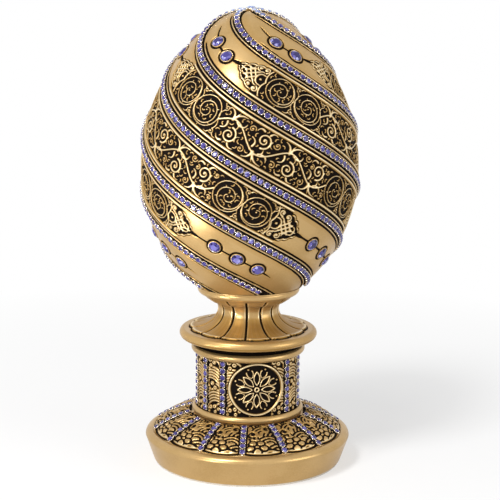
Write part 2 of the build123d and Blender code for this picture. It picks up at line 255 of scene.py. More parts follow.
# Egg arcs from the top down: centre radius, centre height, arc radius, first and last normal angle
top_rise = sqrt((egg_upper_side_arc - egg_top_arc) ** 2 - (egg_upper_side_arc - egg_radius) ** 2)
bottom_rise = sqrt((egg_lower_side_arc - egg_bottom_arc) ** 2 - (egg_lower_side_arc - egg_radius) ** 2)
egg_top_centre_z = egg_top_z - egg_top_arc
equator_z = egg_top_centre_z - top_rise
egg_bottom_centre_z = equator_z - bottom_rise
upper_angle = atan2(top_rise, egg_upper_side_arc - egg_radius)
lower_angle = atan2(bottom_rise, egg_lower_side_arc - egg_radius)
egg_arcs = (
    (0.0, egg_top_centre_z, egg_top_arc, pi / 2, upper_angle),
    (egg_radius - egg_upper_side_arc, equator_z, egg_upper_side_arc, upper_angle, 0.0),
    (egg_radius - egg_lower_side_arc, equator_z, egg_lower_side_arc, 0.0, -lower_angle),
    (0.0, egg_bottom_centre_z, egg_bottom_arc, -lower_angle, -pi / 2),
)
meridian_length = sum(radius * (first - last) for _, _, radius, first, last in egg_arcs)


def egg_at(station):
    """Radius, height and normal angle of the egg at distances along its meridian from the top."""
    station = np.asarray(station, float)
    radius, height, tilt = np.zeros((3,) + station.shape)
    start = 0.0
    for centre_r, centre_z, arc_radius, first, last in egg_arcs:
        angle = first - (station - start) / arc_radius
        here = station >= start
        radius = np.where(here, centre_r + arc_radius * np.cos(angle), radius)
        height = np.where(here, centre_z + arc_radius * np.sin(angle), height)
        tilt = np.where(here, angle, tilt)
        start += arc_radius * (first - last)
    return radius, height, tilt


def row_turn(station):
    """Turn of a spiral row in radians."""
    share = np.asarray(station, float) / meridian_length
    return np.radians(row_turn_start + row_turn_even * share + row_turn_faster * share ** 2)


def row_slope(station):
    """Turn in radians that a spiral row gains for each mm of meridian."""
    share = np.asarray(station, float) / meridian_length
    return np.radians(row_turn_even + 2 * row_turn_faster * share) / meridian_length


# Length along a row, from the top of the egg, against meridian distance
fine_station = np.linspace(0.01, meridian_length - 0.01, 4000)
fine_stretch = np.hypot(1, egg_at(fine_station)[0] * row_slope(fine_station))
fine_steps = np.diff(fine_station) * (fine_stretch[1:] + fine_stretch[:-1]) / 2
fine_length = np.concatenate(([0], np.cumsum(fine_steps)))


def row_length(station):
    """Length of a row from the top of the egg down to a meridian distance."""
    return np.interp(station, fine_station, fine_length)


def smooth(low, high, value):
    """Smooth step from 0 to 1."""
    share = np.clip((value - low) / (high - low), 0, 1)
    return share * share * (3 - 2 * share)


def ridge(off, place, half):
    """Half-round ridge across a distance."""
    return np.sqrt(np.clip(1 - ((off - place) / half) ** 2, 0, 1))


def full_turn(count):
    """Even turns all around."""
    return 2 * pi * np.arange(count) / count


def around(radius, height, turn):
    """Points from radius, height and turn in radians."""
    return np.stack((radius * np.sin(turn), -radius * np.cos(turn), height + 0 * turn), -1)


class Canvas:
    """Map of heights from 0 to 1 that ornament is drawn on, in millimetres."""

    def __init__(self, x_low, x_high, y_low, y_high):
        self.x_low = x_low
        self.y_low = y_low
        rows = int((y_high - y_low) / canvas_step) + 2
        columns = int((x_high - x_low) / canvas_step) + 2
        self.height = np.zeros((rows, columns), np.float32)

    def window(self, x, y, radius):
        """Part of the map about a place, and the distance of its points from that place."""
        spans = []
        for place, low, count in zip((y, x), (self.y_low, self.x_low), self.height.shape):
            first = int((place - radius - low) / canvas_step)
            last = int((place + radius - low) / canvas_step) + 2
            spans.append(np.clip((first, last), 0, count))
        rows, columns = spans
        up = self.y_low + canvas_step * np.arange(*rows)[:, None] - y
        across = self.x_low + canvas_step * np.arange(*columns) - x
        return self.height[slice(*rows), slice(*columns)], np.hypot(up, across)

    def stamp(self, x, y, radius, top=1.0, hollow=0.0):
        """Half-round bump, or a ring where there is a hollow radius inside it."""
        window, distance = self.window(x, y, radius)
        off = distance / radius
        if hollow:
            off = (2 * distance - radius - hollow) / (radius - hollow)
        np.maximum(window, top * np.sqrt(np.clip(1 - off ** 2, 0, 1)), out=window)

    def wipe(self, x, y, radius):
        """Clears a round place."""
        window, distance = self.window(x, y, radius)
        window[distance < radius] = 0

    def free(self, x, y, radius):
        """Whether a square about a place is still empty."""
        row, column = int((y - self.y_low) / canvas_step), int((x - self.x_low) / canvas_step)
        reach = int(radius / canvas_step) + 1
        rows = slice(max(row - reach, 0), row + reach + 1)
        square = self.height[rows, max(column - reach, 0):column + reach + 1]
        return square.size > 0 and square.max() == 0

    def stroke(self, points, first, last=None, top=1.0):
        """Half-round ridge along points, with a half-width that runs from first to last."""
        points = np.asarray(points, float)
        last = first if last is None else last
        lengths = np.concatenate(([0], np.cumsum(np.hypot(*np.diff(points, axis=0).T))))
        share = np.linspace(0, 1, max(int(lengths[-1] / (1.5 * canvas_step)), 2))
        x, y = (np.interp(share * lengths[-1], lengths, line) for line in points.T)
        for place_x, place_y, half in zip(x, y, first + (last - first) * share):
            self.stamp(place_x, place_y, half, top)

    def rings(self, x, y, radii, first, last, half):
        """Concentric arcs between two angles in degrees."""
        angle = np.radians(np.linspace(first, last, 24))
        for radius in radii:
            self.stroke(np.stack((x + radius * np.cos(angle), y + radius * np.sin(angle)), 1), half)

    def spiral(self, x, y, radius, start, turns, way, first, last, top=1.0):
        """Volute that winds inwards from a start angle in radians and ends in a berry."""
        share = np.linspace(0, 1, int(40 * turns))
        angle = start + way * 2 * pi * turns * share
        wind = radius * (1 - volute_pull * share)
        self.stroke(np.stack((x + wind * np.cos(angle), y + wind * np.sin(angle)), 1), first, last, top)
        self.stamp(x, y, 2.0 * last, top)

    def curl(self, start, end, bend, first, last, top=1.0):
        """Comma leaf: a bent stroke between two points that tapers."""
        start, end = np.array(start), np.array(end)
        share = np.linspace(0, 1, 16)[:, None]
        side = np.array((-(end - start)[1], (end - start)[0]))
        self.stroke(start + (end - start) * share + side * bend * 4 * share * (1 - share), first, last, top)

    def leaves(self, rows, place, hand):
        """Comma leaves from rows of start, end, bend and half-widths, set out by a placing function."""
        for x, y, end_x, end_y, bend, first, last in rows:
            self.curl(place(x, y), place(end_x, end_y), hand * bend, first, last)

    def sample(self, x, y):
        """Heights at places, between the map's points."""
        rows, columns = self.height.shape
        column = np.clip((x - self.x_low) / canvas_step, 0, columns - 1.001)
        row = np.clip((y - self.y_low) / canvas_step, 0, rows - 1.001)
        left, low = column.astype(int), row.astype(int)
        u, v = column - left, row - low
        grid = self.height
        bottom = grid[low, left] * (1 - u) + grid[low, left + 1] * u
        top = grid[low + 1, left] * (1 - u) + grid[low + 1, left + 1] * u
        return bottom * (1 - v) + top * v


# Meshes: faces are a list of corners and the first corner of each face


def finish_mesh(name, points, faces, smooth_faces, attributes, material, node, flat_ends=0):
    """Piece from points in millimetres, with its attributes and material; its last faces may be flat."""
    corners, starts = faces
    mesh = bpy.data.meshes.new(name)
    mesh.vertices.add(len(points))
    mesh.vertices.foreach_set("co", (np.asarray(points) * MM).astype(np.float32).ravel())
    mesh.loops.add(len(corners))
    mesh.loops.foreach_set("vertex_index", corners.astype(np.int32))
    mesh.polygons.add(len(starts))
    mesh.polygons.foreach_set("loop_start", starts.astype(np.int32))
    mesh.update(calc_edges=True)
    shading = np.full(len(starts), smooth_faces)
    shading[len(shading) - flat_ends:] = False
    mesh.polygons.foreach_set("use_smooth", shading)
    for label, (domain, values) in attributes.items():
        layer = mesh.attributes.new(label, "FLOAT", domain)
        layer.data.foreach_set("value", np.asarray(values, np.float32).ravel())
    mesh.materials.append(material)
    piece = bpy.data.objects.new(name, mesh)
    bpy.context.scene.collection.objects.link(piece)
    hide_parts(node)
    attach(piece, "root")


def gold_mesh(name, points, faces, dark, polish_and_highlight, node, flat_ends=0):
    """Cast gold piece with its dark patina and painted shade, and its worn edges and painted highlights."""
    marks = {"patina_and_shade": ("POINT", dark), "polish_and_highlight": ("POINT", polish_and_highlight)}
    finish_mesh(name, points.reshape(-1, 3), faces, True, marks, gold, node, flat_ends)


def grid_faces(rows, columns, wrap_rows, capped):
    """Quads of a grid that closes across its columns, with end caps if asked."""
    quad_rows = rows if wrap_rows else rows - 1
    row = np.arange(quad_rows)[:, None]
    column = np.arange(columns)[None, :]
    next_row = (row + 1) % rows
    next_column = (column + 1) % columns
    quads = [row * columns + column, next_row * columns + column,
             next_row * columns + next_column, row * columns + next_column]
    corners = np.stack([np.broadcast_to(corner, (quad_rows, columns)) for corner in quads], -1).reshape(-1)
    starts = np.arange(0, len(corners), 4)
    if capped:
        last_cap = (rows - 1) * columns + np.arange(columns)[::-1]
        starts = np.concatenate((starts, [len(corners), len(corners) + columns]))
        corners = np.concatenate((corners, np.arange(columns), last_cap))
    return corners, starts


# Materials


def new_material(name):
    """Node material with its tree and shader."""
    material = bpy.data.materials.new(name)
    material.use_nodes = True
    tree = material.node_tree
    return material, tree, tree.nodes["Principled BSDF"]


def feed(tree, socket, value):
    """Joins a socket to another one, or gives it a number or a colour of its own."""
    if isinstance(value, bpy.types.NodeSocket):
        tree.links.new(value, socket)
    elif isinstance(value, tuple):
        socket.default_value = (*value, 1.0)
    else:
        socket.default_value = value


def plug(tree, node, **sockets):
    """Feeds sockets of a node by their names."""
    for name, value in sockets.items():
        feed(tree, node.inputs[name.replace("_", " ")], value)


def add_node(tree, kind, **settings):
    """Node with settings; names with a leading capital are sockets."""
    node = tree.nodes.new(kind)
    for name, value in settings.items():
        if name[0].isupper():
            plug(tree, node, **{name: value})
        else:
            setattr(node, name, value)
    return node


def attribute(tree, name):
    """Value that a mesh carries."""
    return add_node(tree, "ShaderNodeAttribute", attribute_name=name).outputs["Fac"]


def own_space(tree):
    """Place in the object's own space."""
    return add_node(tree, "ShaderNodeTexCoord").outputs["Object"]


def noise(tree, scale, detail=3.0):
    """Noise in the object's own space."""
    node = add_node(tree, "ShaderNodeTexNoise", Scale=scale, Detail=detail, Vector=own_space(tree))
    return node.outputs["Fac"]


def ramp(tree, source, *stops):
    """Colour ramp from (place, colour) stops."""
    node = add_node(tree, "ShaderNodeValToRGB", Fac=source)
    elements = node.color_ramp.elements
    while len(elements) < len(stops):
        elements.new(0.5)
    for element, (place, colour) in zip(elements, stops):
        element.position = place
        element.color = (*colour, 1.0)
    return node.outputs["Color"]


def math(tree, operation, first, second, clamp=False):
    """Sum, product or the like of two sockets or numbers."""
    node = add_node(tree, "ShaderNodeMath", operation=operation, use_clamp=clamp)
    feed(tree, node.inputs[0], first)
    feed(tree, node.inputs[1], second)
    return node.outputs[0]


def swing(tree, source, size):
    """Source swung about zero by a size."""
    return math(tree, "MULTIPLY", math(tree, "SUBTRACT", source, 0.5), size)


def mix(tree, share, first, second):
    """Blend of two colours or sockets."""
    node = add_node(tree, "ShaderNodeMix", data_type="RGBA")
    for place, value in ((0, share), (6, first), (7, second)):
        feed(tree, node.inputs[place], value)
    return node.outputs[2]


def bump(tree, shader, height, strength, distance):
    """Bump from a height socket."""
    node = add_node(tree, "ShaderNodeBump", Strength=strength, Distance=distance, Height=height)
    plug(tree, shader, Normal=node.outputs["Normal"])


gold_deep = (0.45, 0.29, 0.115)
gold_mid = (0.52, 0.345, 0.15)
gold_pale = (0.82, 0.68, 0.42)
# Amber of the painted shade
painted_shade_amber = (0.36, 0.195, 0.04)
patina_dark = (0.006, 0.004, 0.003)


def gold_finish():
    """Satin gold over a cast body, dark in its recesses, with amber painted shade and paler worn edges that
    also serve as painted highlights.
    """
    material, tree, shader = new_material("gold_casting")
    patina_and_shade = attribute(tree, "patina_and_shade")
    cloud = noise(tree, 90.0, 4.0)
    grain = noise(tree, 1400.0, 2.0)
    mottle = math(tree, "ADD", cloud, swing(tree, grain, 0.5))
    tone = ramp(tree, mottle, (0.25, gold_deep), (0.62, gold_mid))
    # Paler on worn edges, which also serve as painted highlights
    worn_and_highlit = mix(tree, attribute(tree, "polish_and_highlight"), tone, gold_pale)
    darkening = math(tree, "ADD", patina_and_shade, swing(tree, cloud, 0.2), True)
    darkening = math(tree, "MULTIPLY", darkening, math(tree, "GREATER_THAN", patina_and_shade, 0.02), True)
    # Amber where the darkening is slight, which is mostly painted shade; near black where the patina is full
    amber = mix(tree, math(tree, "MULTIPLY", darkening, 3.0, True), worn_and_highlit, painted_shade_amber)
    deep = math(tree, "MULTIPLY", math(tree, "SUBTRACT", darkening, 0.34), 2.4, True)
    rough = math(tree, "ADD", 0.26, math(tree, "MULTIPLY", grain, 0.08))
    plug(tree, shader, Base_Color=mix(tree, deep, amber, patina_dark), Specular_IOR_Level=0.04,
         Metallic=math(tree, "MULTIPLY", math(tree, "SUBTRACT", 1.0, darkening), 0.7),
         Roughness=math(tree, "ADD", rough, math(tree, "MULTIPLY", darkening, 0.4), True))
    bump(tree, shader, grain, 0.05, 0.0001)
    return material


def plate_finish():
    """Bright gold plate of the small cups."""
    material, tree, shader = new_material("chain_metal")
    grain = noise(tree, 900.0)
    plug(tree, shader, Base_Color=ramp(tree, grain, (0.3, (0.50, 0.40, 0.28)), (0.7, (0.90, 0.82, 0.66))),
         Metallic=0.85, Roughness=math(tree, "ADD", 0.14, math(tree, "MULTIPLY", grain, 0.14)))
    return material


# Painted glints: each facet's brightness, from dark to pale, stands in for what the cut glass reflects
violet_glint_stops = ((0.0, (0.006, 0.004, 0.04)), (0.35, (0.024, 0.018, 0.125)), (0.68, (0.068, 0.056, 0.25)),
                (0.9, (0.15, 0.135, 0.39)), (1.0, (0.46, 0.46, 0.76)))
ice_glint_stops = ((0.0, (0.10, 0.14, 0.36)), (0.5, (0.26, 0.36, 0.66)), (1.0, (0.66, 0.76, 0.95)))


def stone_finish(name, stops):
    """Cut glass with painted glints: each facet has its own brightness, standing in for its reflections."""
    material, tree, shader = new_material(name)
    facet_glint = attribute(tree, "facet_glint")
    glint_tint = ramp(tree, math(tree, "ADD", facet_glint, swing(tree, noise(tree, 500.0), 0.2), True), *stops)
    frost = ramp(tree, facet_glint, *ice_glint_stops)
    plug(tree, shader, Base_Color=mix(tree, attribute(tree, "ice"), glint_tint, frost), Roughness=0.07,
         Specular_IOR_Level=0.35, Coat_Weight=0.15, Coat_Roughness=0.04)
    return material


def felt_finish():
    """Pressed felt with short fibres."""
    material, tree, shader = new_material("felt")
    fibre = noise(tree, 2600.0, 6.0)
    plug(tree, shader, Base_Color=ramp(tree, fibre, (0.3, (0.55, 0.51, 0.43)), (0.7, (0.80, 0.77, 0.70))),
         Roughness=0.95, Sheen_Weight=0.4)
    bump(tree, shader, fibre, 0.5, 0.0002)
    return material


def turned_finish(name, colour, rough):
    """Turned metal with fine rings along the axis."""
    material, tree, shader = new_material(name)
    wave = add_node(tree, "ShaderNodeTexWave", Scale=400.0, Distortion=0.6, bands_direction="Z",
                    Vector=own_space(tree))
    rings = wave.outputs["Fac"]
    tone = ramp(tree, rings, (0.0, tuple(0.75 * part for part in colour)), (1.0, colour))
    plug(tree, shader, Base_Color=tone, Metallic=1.0, Roughness=rough)
    bump(tree, shader, rings, 0.2, 0.0001)
    return material


gold = gold_finish()
plate = plate_finish()
violet = stone_finish("violet_stone", violet_glint_stops)
pale = stone_finish("pale_stone", ice_glint_stops)

# Chains of cups and stones: profiles are (radius, height) pairs from the seat up
cup_profile = ((0.9, 0.0), (1.12, 0.05), (1.16, 0.55), (1.08, 0.68), (0.98, 0.62), (0.9, 0.3))
cup_squareness = 3.4
claw_profile = ((0.2, 0.1), (0.23, 0.6), (0.23, 0.92), (0.16, 1.05), (0.05, 1.09))
claw_place = 0.93
claw_lean = 0.1
link_profile = ((0.3, 0.1), (0.36, 0.18), (0.36, 0.32), (0.3, 0.4))
link_place = 1.3
crown_profile = ((1.6, 0.0), (2.2, 0.06), (2.24, 0.8), (2.14, 0.95), (2.02, 0.85), (1.8, 0.3))


def glint_levels(count, seed):
    """Even spread of painted glint levels in a fixed shuffled order."""
    return np.random.default_rng(seed).permutation(np.linspace(0, 1, count))


def brilliant(radius, base, girdle, crown, depth):
    """Form of a round brilliant: table, star, kite and girdle facets and a pointed back."""
    top = base + girdle
    table = around(0.56 * radius, top + crown, full_turn(8) + pi / 8)
    kite = around(0.82 * radius, top + 0.52 * crown, full_turn(8))
    upper, lower = (around(radius, level, full_turn(16)) for level in (top, base))
    points = np.concatenate((table, kite, upper, lower, [[0, 0, base - depth]]))
    faces = [tuple(range(8))]
    for n in range(8):
        after, before = (n + 1) % 8, (n - 1) % 8
        edge = 16 + 2 * n
        right, left = 16 + (2 * n + 1) % 16, 16 + (2 * n - 1) % 16
        faces += [(before, 8 + n, n), (n, 8 + n, right, 8 + after), (8 + n, edge, right), (8 + n, left, edge)]
    for n in range(16):
        after = (n + 1) % 16
        faces += [(16 + n, 32 + n, 32 + after, 16 + after), (32 + n, 48, 32 + after)]
    return points, np.concatenate(faces), np.cumsum([0] + [len(face) for face in faces[:-1]])


def ringed(profile, sides, square=None):
    """Closed turned form, squared off if asked."""
    turn = full_turn(sides)
    swell = 1.0
    if square:
        swell = (np.abs(np.cos(turn)) ** square + np.abs(np.sin(turn)) ** square) ** (-1 / square)
    points = np.concatenate([around(radius * swell, height, turn) for radius, height in profile])
    return points, *grid_faces(len(profile), sides, False, True)


def joined(forms):
    """One form from several."""
    points, corners, starts = [], [], []
    point_count = corner_count = 0
    for some_points, some_corners, some_starts in forms:
        points.append(some_points)
        corners.append(point_count + some_corners)
        starts.append(corner_count + some_starts)
        point_count += len(some_points)
        corner_count += len(some_corners)
    return np.concatenate(points), np.concatenate(corners), np.concatenate(starts)


def claw_cup():
    """Square cup with four claws at its corners and half a link at each end."""
    forms = [ringed(cup_profile, 24, cup_squareness)]
    claw, *claw_faces = ringed(claw_profile, 8)
    link, *link_faces = ringed(link_profile, 10)
    place = claw_place - claw_lean * np.clip(claw[:, 2:] - 0.5, 0, 1)
    for x in (-1, 1):
        for y in (-1, 1):
            forms.append((claw + np.concatenate((x * place, y * place, 0 * place), 1), *claw_faces))
        forms.append((link * (1.0, 0.9, 1.0) + (x * link_place, 0, 0), *link_faces))
    return joined(forms)


def places_on(radius, height, tilt, turn, lean):
    """Origins and axes on a surface: X along the row, Y across it, Z along the normal."""
    radius, height, tilt, turn, lean = np.broadcast_arrays(radius, height, tilt, turn, lean)
    normal = np.stack((np.cos(tilt) * np.sin(turn), -np.cos(tilt) * np.cos(turn), np.sin(tilt)), -1)
    down = np.stack((np.sin(tilt) * np.sin(turn), -np.sin(tilt) * np.cos(turn), -np.cos(tilt)), -1)
    side = np.stack((np.cos(turn), np.sin(turn), 0 * turn), -1)
    along = down * np.cos(lean)[..., None] + side * np.sin(lean)[..., None]
    axes = np.stack((along, np.cross(normal, along), normal), -1)
    return around(radius, height, turn), axes


def set_out(node, form, places, material, seed=None, turns=None, ice=None):
    """A copy of a form at each place, in one piece that stands for a node; stones get a painted glint for
    each facet and a share of ice."""
    points, *faces = form
    copies = []
    for n, (origin, axis) in enumerate(zip(*places)):
        copy = points
        if turns is not None:
            c, s = cos(turns[n]), sin(turns[n])
            copy = points @ np.array(((c, s, 0), (-s, c, 0), (0, 0, 1)))
        copies.append((origin + copy @ axis.T, *faces))
    all_points, *all_faces = joined(copies)
    attributes = {}
    if seed is not None:
        glints = glint_levels(len(all_faces[1]), seed).reshape(len(copies), -1)
        # Painted glints: the table facet never gets the darkest or the palest
        glints[:, 0] = 0.2 + 0.72 * glints[:, 0]
        attributes["facet_glint"] = ("FACE", glints)
    if ice is not None:
        attributes["ice"] = ("FACE", np.repeat(ice, len(faces[1])))
    finish_mesh(node, all_points, all_faces, seed is None, attributes, material, node)


def chain(cups, stones, places, seed, ice=None):
    """Row of claw cups and stones."""
    turns = np.random.default_rng(seed).uniform(0, pi / 4, len(places[0]))
    set_out(cups, cup_form, places, plate)
    set_out(stones, stone_form, places, violet, seed, turns, ice)


cup_form = claw_cup()
stone_form = brilliant(1.13, 0.62, 0.18, 0.42, 0.35)
stations = []
station = row_first_station
while egg_at(station)[1] > row_lowest_z:
    stations.append(station)
    station += chain_pitch / hypot(1, row_slope(station) * egg_at(station)[0])
stations = np.array(stations)
row_lean = np.arctan(egg_at(stations)[0] * row_slope(stations))
for row in range(row_count):
    chain(f"egg_row_cups_{row + 1}", f"egg_row_stones_{row + 1}",
          places_on(*egg_at(stations), row_turn(stations) + row * row_step, row_lean), 20 + row,
          0.8 * (1 - smooth(5, 15, stations)))

# Larger stones between the rows, and the crown stone
large_form = brilliant(large_stone_radius, 0.05, 0.2, 0.7, 0.6)
for label, spots, seed in (("upper", upper_stones, 41), ("lower", lower_stones, 42)):
    station, share = np.repeat(spots, row_count, 0).T
    band = share + np.tile(np.arange(row_count), len(spots))
    places = places_on(*egg_at(station), row_turn(station) + row_step * band, 0.0)
    set_out(f"egg_{label}_stones", large_form, places, violet, seed)
crown_place = (np.array([[0, 0, egg_top_z + glue_gap]]), np.eye(3)[None])
crown_form = brilliant(crown_radius, 0.6, 0.25, 0.7, 0.4)
set_out("crown_cup", ringed(crown_profile, 40), crown_place, plate)
set_out("crown_stone", crown_form, crown_place, pale, 43)

# Bands of the egg


def band_half(station):
    """Half the distance between two rows, across them, and the slope of their lean."""
    radius = egg_at(station)[0]
    slope = radius * row_slope(station)
    return row_step / 2 * radius * np.cos(np.arctan(slope)), slope


def band_place(station, share):
    """Length along a band and place across it, from its middle line."""
    half, slope = band_half(station)
    across = (2 * share - 1) * half
    return row_length(station) + across * slope, across


field_top = float(row_length(field_top_station))
field_end = float(row_length(field_end_station))
widest_half = float(np.max(band_half(fine_station)[0]))


def field_half_at(along):
    """Half the width of the field at a length along the middle line of a band."""
    return band_half(np.interp(along, fine_length, fine_station))[0] - field_edge


def point_profile(share):
    """Pointed end with lobes: 0 at the tip, 1 where the field has its full width."""
    share = np.clip(share, 0, 1)
    lobes = 0.15 * np.abs(np.sin(3.5 * pi * share)) * (1 - share) ** 0.6
    return np.clip(1 - (1 - share) ** 1.6 + lobes * np.minimum(1, 4 * share), 0, 1)


def draw_scrolls(canvas, low, high):
    """Thin rings side by side, each with a leafy volute in it, and curls in the corners between them."""
    count = round((high - low) / scroll_pitch)
    pitch = (high - low) / count
    turns = 1.8
    for n in range(count):
        way = 1 if n % 2 else -1
        middle = low + (n + 0.5) * pitch
        half = field_half_at(middle)
        wind = min(pitch / 2, half - 1.0)
        start = pi if way > 0 else pi / 3
        canvas.rings(middle, 0, (wind,), 0, 360, 0.2)
        canvas.spiral(middle, 0, 0.98 * wind, start, turns, way, 0.24, 0.18)
        for share in (0.2, 0.32, 0.44, 0.56, 0.68):
            angle = start + way * 2 * pi * turns * share
            reach = wind * (0.98 - volute_pull * share)
            root = np.array((middle + reach * cos(angle), reach * sin(angle)))
            tip = root + (cos(angle + way * 0.7), sin(angle + way * 0.7))
            canvas.curl(root, tip, 0.35 * way, 0.26, 0.14)
        for side in (-1, 1):
            corner = np.array((middle + pitch / 2, side * (half - 1.7)))
            canvas.spiral(*corner, 1.15, -side * pi / 2, 1.3, side * way, 0.2, 0.16)
            canvas.curl((corner[0], side * 0.3), corner - (0, side * 1.15), 0.2 * way, 0.2, 0.2)
            for end in (-1, 1):
                root, tip = corner + (end, side * 0.6), corner + (end * 2.9, side * 1.25)
                canvas.curl(root, tip, 0.2 * end * side, 0.28, 0.12)
            canvas.stamp(middle, side * (half - 0.45), 0.26)


# Leaves of a bay of the arabesque: start and end, along it and across it as shares of its half-width,
# then bend and half-widths
arabesque_leaves = (
    (-1.6, 0.44, 3.4, 0.92, 0.2, 0.7, 0.16), (-1.6, 0.44, -4.8, 0.92, -0.2, 0.64, 0.16),
    (2.0, 0.36, 4.6, 0.62, -0.3, 0.5, 0.2), (-2.8, 0.2, -4.4, -0.24, 0.3, 0.5, 0.2),
    (-0.6, 0.5, -0.2, 0.95, 0.15, 0.42, 0.14), (1.6, -0.78, 4.4, -0.9, -0.25, 0.5, 0.14),
    (-1.4, -0.82, -4.2, -0.66, 0.3, 0.5, 0.14), (0.6, 0.42, 1.6, 0.04, 0.3, 0.4, 0.14),
    (3.6, -0.5, 4.6, -0.18, 0.3, 0.34, 0.14),
)


def draw_arabesque(canvas, low, high):
    """Bold winding stem with split leaves and a volute in each bay."""
    count = 2 * round((high - low) / (2 * scroll_pitch))
    pitch = (high - low) / count
    x = np.linspace(low, high, 24 * count)
    canvas.stroke(np.stack((x, 0.5 * field_half_at(x) * np.sin(pi * (x - low) / pitch)), 1), 0.36)
    for n in range(count):
        side = 1 if n % 2 == 0 else -1
        middle = low + (n + 0.5) * pitch
        half = field_half_at(middle)

        def at(u, v):
            """Place in this bay."""
            return middle + u, side * v * half

        canvas.spiral(*at(0.4, -0.36), 3.2, side * pi / 2, 1.6, -side, 0.44, 0.28)
        canvas.leaves(arabesque_leaves, at, side)


def fill_up(canvas, low, high, sizes, seed):
    """Small volutes and leaves in the places that are still free."""
    pick = np.random.default_rng(seed)
    count = int(40 * (high - low))
    for radius in sizes:
        x, y, turn = pick.uniform((low, -1, 0), (high, 1, 2 * pi), (count, 3)).T
        y = y * (field_half_at(x) - 0.35 - radius)
        for u, v, angle in zip(x, y, turn):
            if not canvas.free(u, v, radius + 0.16):
                continue
            reach = radius * np.array((cos(angle), sin(angle)))
            if radius > 1:
                canvas.spiral(u, v, radius, angle, 1.3, 1 if angle > pi else -1, 0.25, 0.2, 0.85)
            else:
                canvas.curl((u, v) + reach, (u, v) - reach, 0.3, 0.27, 0.16, 0.85)


def draw_end(canvas, tip, way, half):
    """Pointed end of a field: straps woven to a knot, with leaves and volutes around it."""
    leaves = ((2.9, 0, 4.4, 1.9, 0.25, 0.42, 0.22), (5.0, 1.9, 6.6, 3.6, -0.3, 0.42, 0.26),
              (9.6, 0, 12.6, 2.4, 0.25, 0.46, 0.24), (9.3, 2.0, 11.2, 3.3, 0.2, 0.4, 0.24),
              (end_length, 0.1, end_length, half - 0.3, 0.14, 0.36, 0.3))
    knot = 7.0
    canvas.stroke([(tip + way * 2.0, 0), (tip + way * 4.4, 0)], 0.34)
    canvas.stamp(tip + way * 11.6, 0, 0.55)
    for side in (-1, 1):
        def at(u, v):
            """Place from the tip, on this side."""
            return tip + way * u, side * v

        for shift, reach in ((-1.7, 2.1), (0.0, 3.0), (1.7, 2.1)):
            u, v = knot + shift * sqrt(0.5), -shift * sqrt(0.5)
            slope = reach * sqrt(0.5)
            canvas.stroke([at(u - slope, v - slope), at(u + slope, v + slope)], 0.42)
        for u, v, hand in ((8.4, 4.3, -way), (11.4, half - 2.0, way)):
            canvas.spiral(*at(u, v), 1.35, -side * 1.2, 1.3, hand * side, 0.36, 0.28)
        canvas.leaves(leaves, at, way * side)


def band_canvas():
    """Ornament of one band over length along it and place across it."""
    half = widest_half - field_edge
    canvas = Canvas(field_top, field_end, -half, half)
    draw_end(canvas, field_top, 1, field_half_at(field_top + end_length))
    draw_end(canvas, field_end, -1, field_half_at(field_end - end_length))
    first, last = field_top + end_length + 0.6, field_end - end_length - 0.6
    middle = (last - first) / 2 - 2.5 * scroll_pitch
    draw_scrolls(canvas, first, first + middle)
    draw_arabesque(canvas, first + middle, last - middle)
    draw_scrolls(canvas, last - middle, last)
    fill_up(canvas, first + middle, last - middle, (1.5, 1.1, 0.75, 0.5), 5)
    fill_up(canvas, first, last, (0.8, 0.6), 6)
    return canvas


def blurred(values, reach):
    """Mean over the neighbours on a grid."""
    for axis in (0, 1):
        values = sum(np.roll(values, step, axis) for step in range(-reach, reach + 1)) / (2 * reach + 1)
    return values


def line_off(x, y, corners):
    """Distance from a line through corners."""
    best = np.full(np.shape(x), 99.0)
    for (x0, y0), (x1, y1) in zip(corners, corners[1:]):
        run, rise = x1 - x0, y1 - y0
        share = np.clip(((x - x0) * run + (y - y0) * rise) / (run * run + rise * rise), 0, 1)
        best = np.minimum(best, np.hypot(x - x0 - share * run, y - y0 - share * rise))
    return best


def field_relief(along, across, half, full):
    """How far the field is sunk and how high its ornament stands, both from 0 to 1."""
    tip = np.minimum((along - field_top) / field_top_point, (field_end - along) / field_end_point)
    inside = point_profile(tip) * (half - field_edge) - np.abs(across)
    inside = np.where((along > field_top) & (along < field_end), inside, -9.0)
    margin = field_margin + strap_room * (1 - full)
    drawn = ornament.sample(along, across) * smooth(margin, margin + 0.2, inside)
    strap = ridge(inside, strap_place, strap_half) * (1 - full)
    return smooth(-0.1, 0.12, inside), np.maximum(drawn, strap)


def hairlines(along, across):
    """Distance from the lines through the larger stones, and their cut, from 0 to 1."""
    first, last = band_place(*hairline_top), band_place(*hairline_end)
    upper = [first] + [band_place(*spot) for spot in upper_stones] + [(field_top + 1.0, 0.0)]
    lower = [(field_end - 1.0, 0.0)] + [band_place(*spot) for spot in lower_stones] + [last]
    away = np.minimum(line_off(along, across, upper), line_off(along, across, lower))
    flare = 1 - smooth(0, 3.0, np.minimum(np.abs(along - field_top), np.abs(along - field_end)))
    taper = smooth(first[0] - 2, first[0] + 3, along) * (1 - smooth(last[0] - 4, last[0] + 2, along))
    wide = (hairline_half + hairline_flare * flare) * taper + 1e-6
    return away, (1 - smooth(0.6, 1.15, away / wide)) * (taper > 0.01)


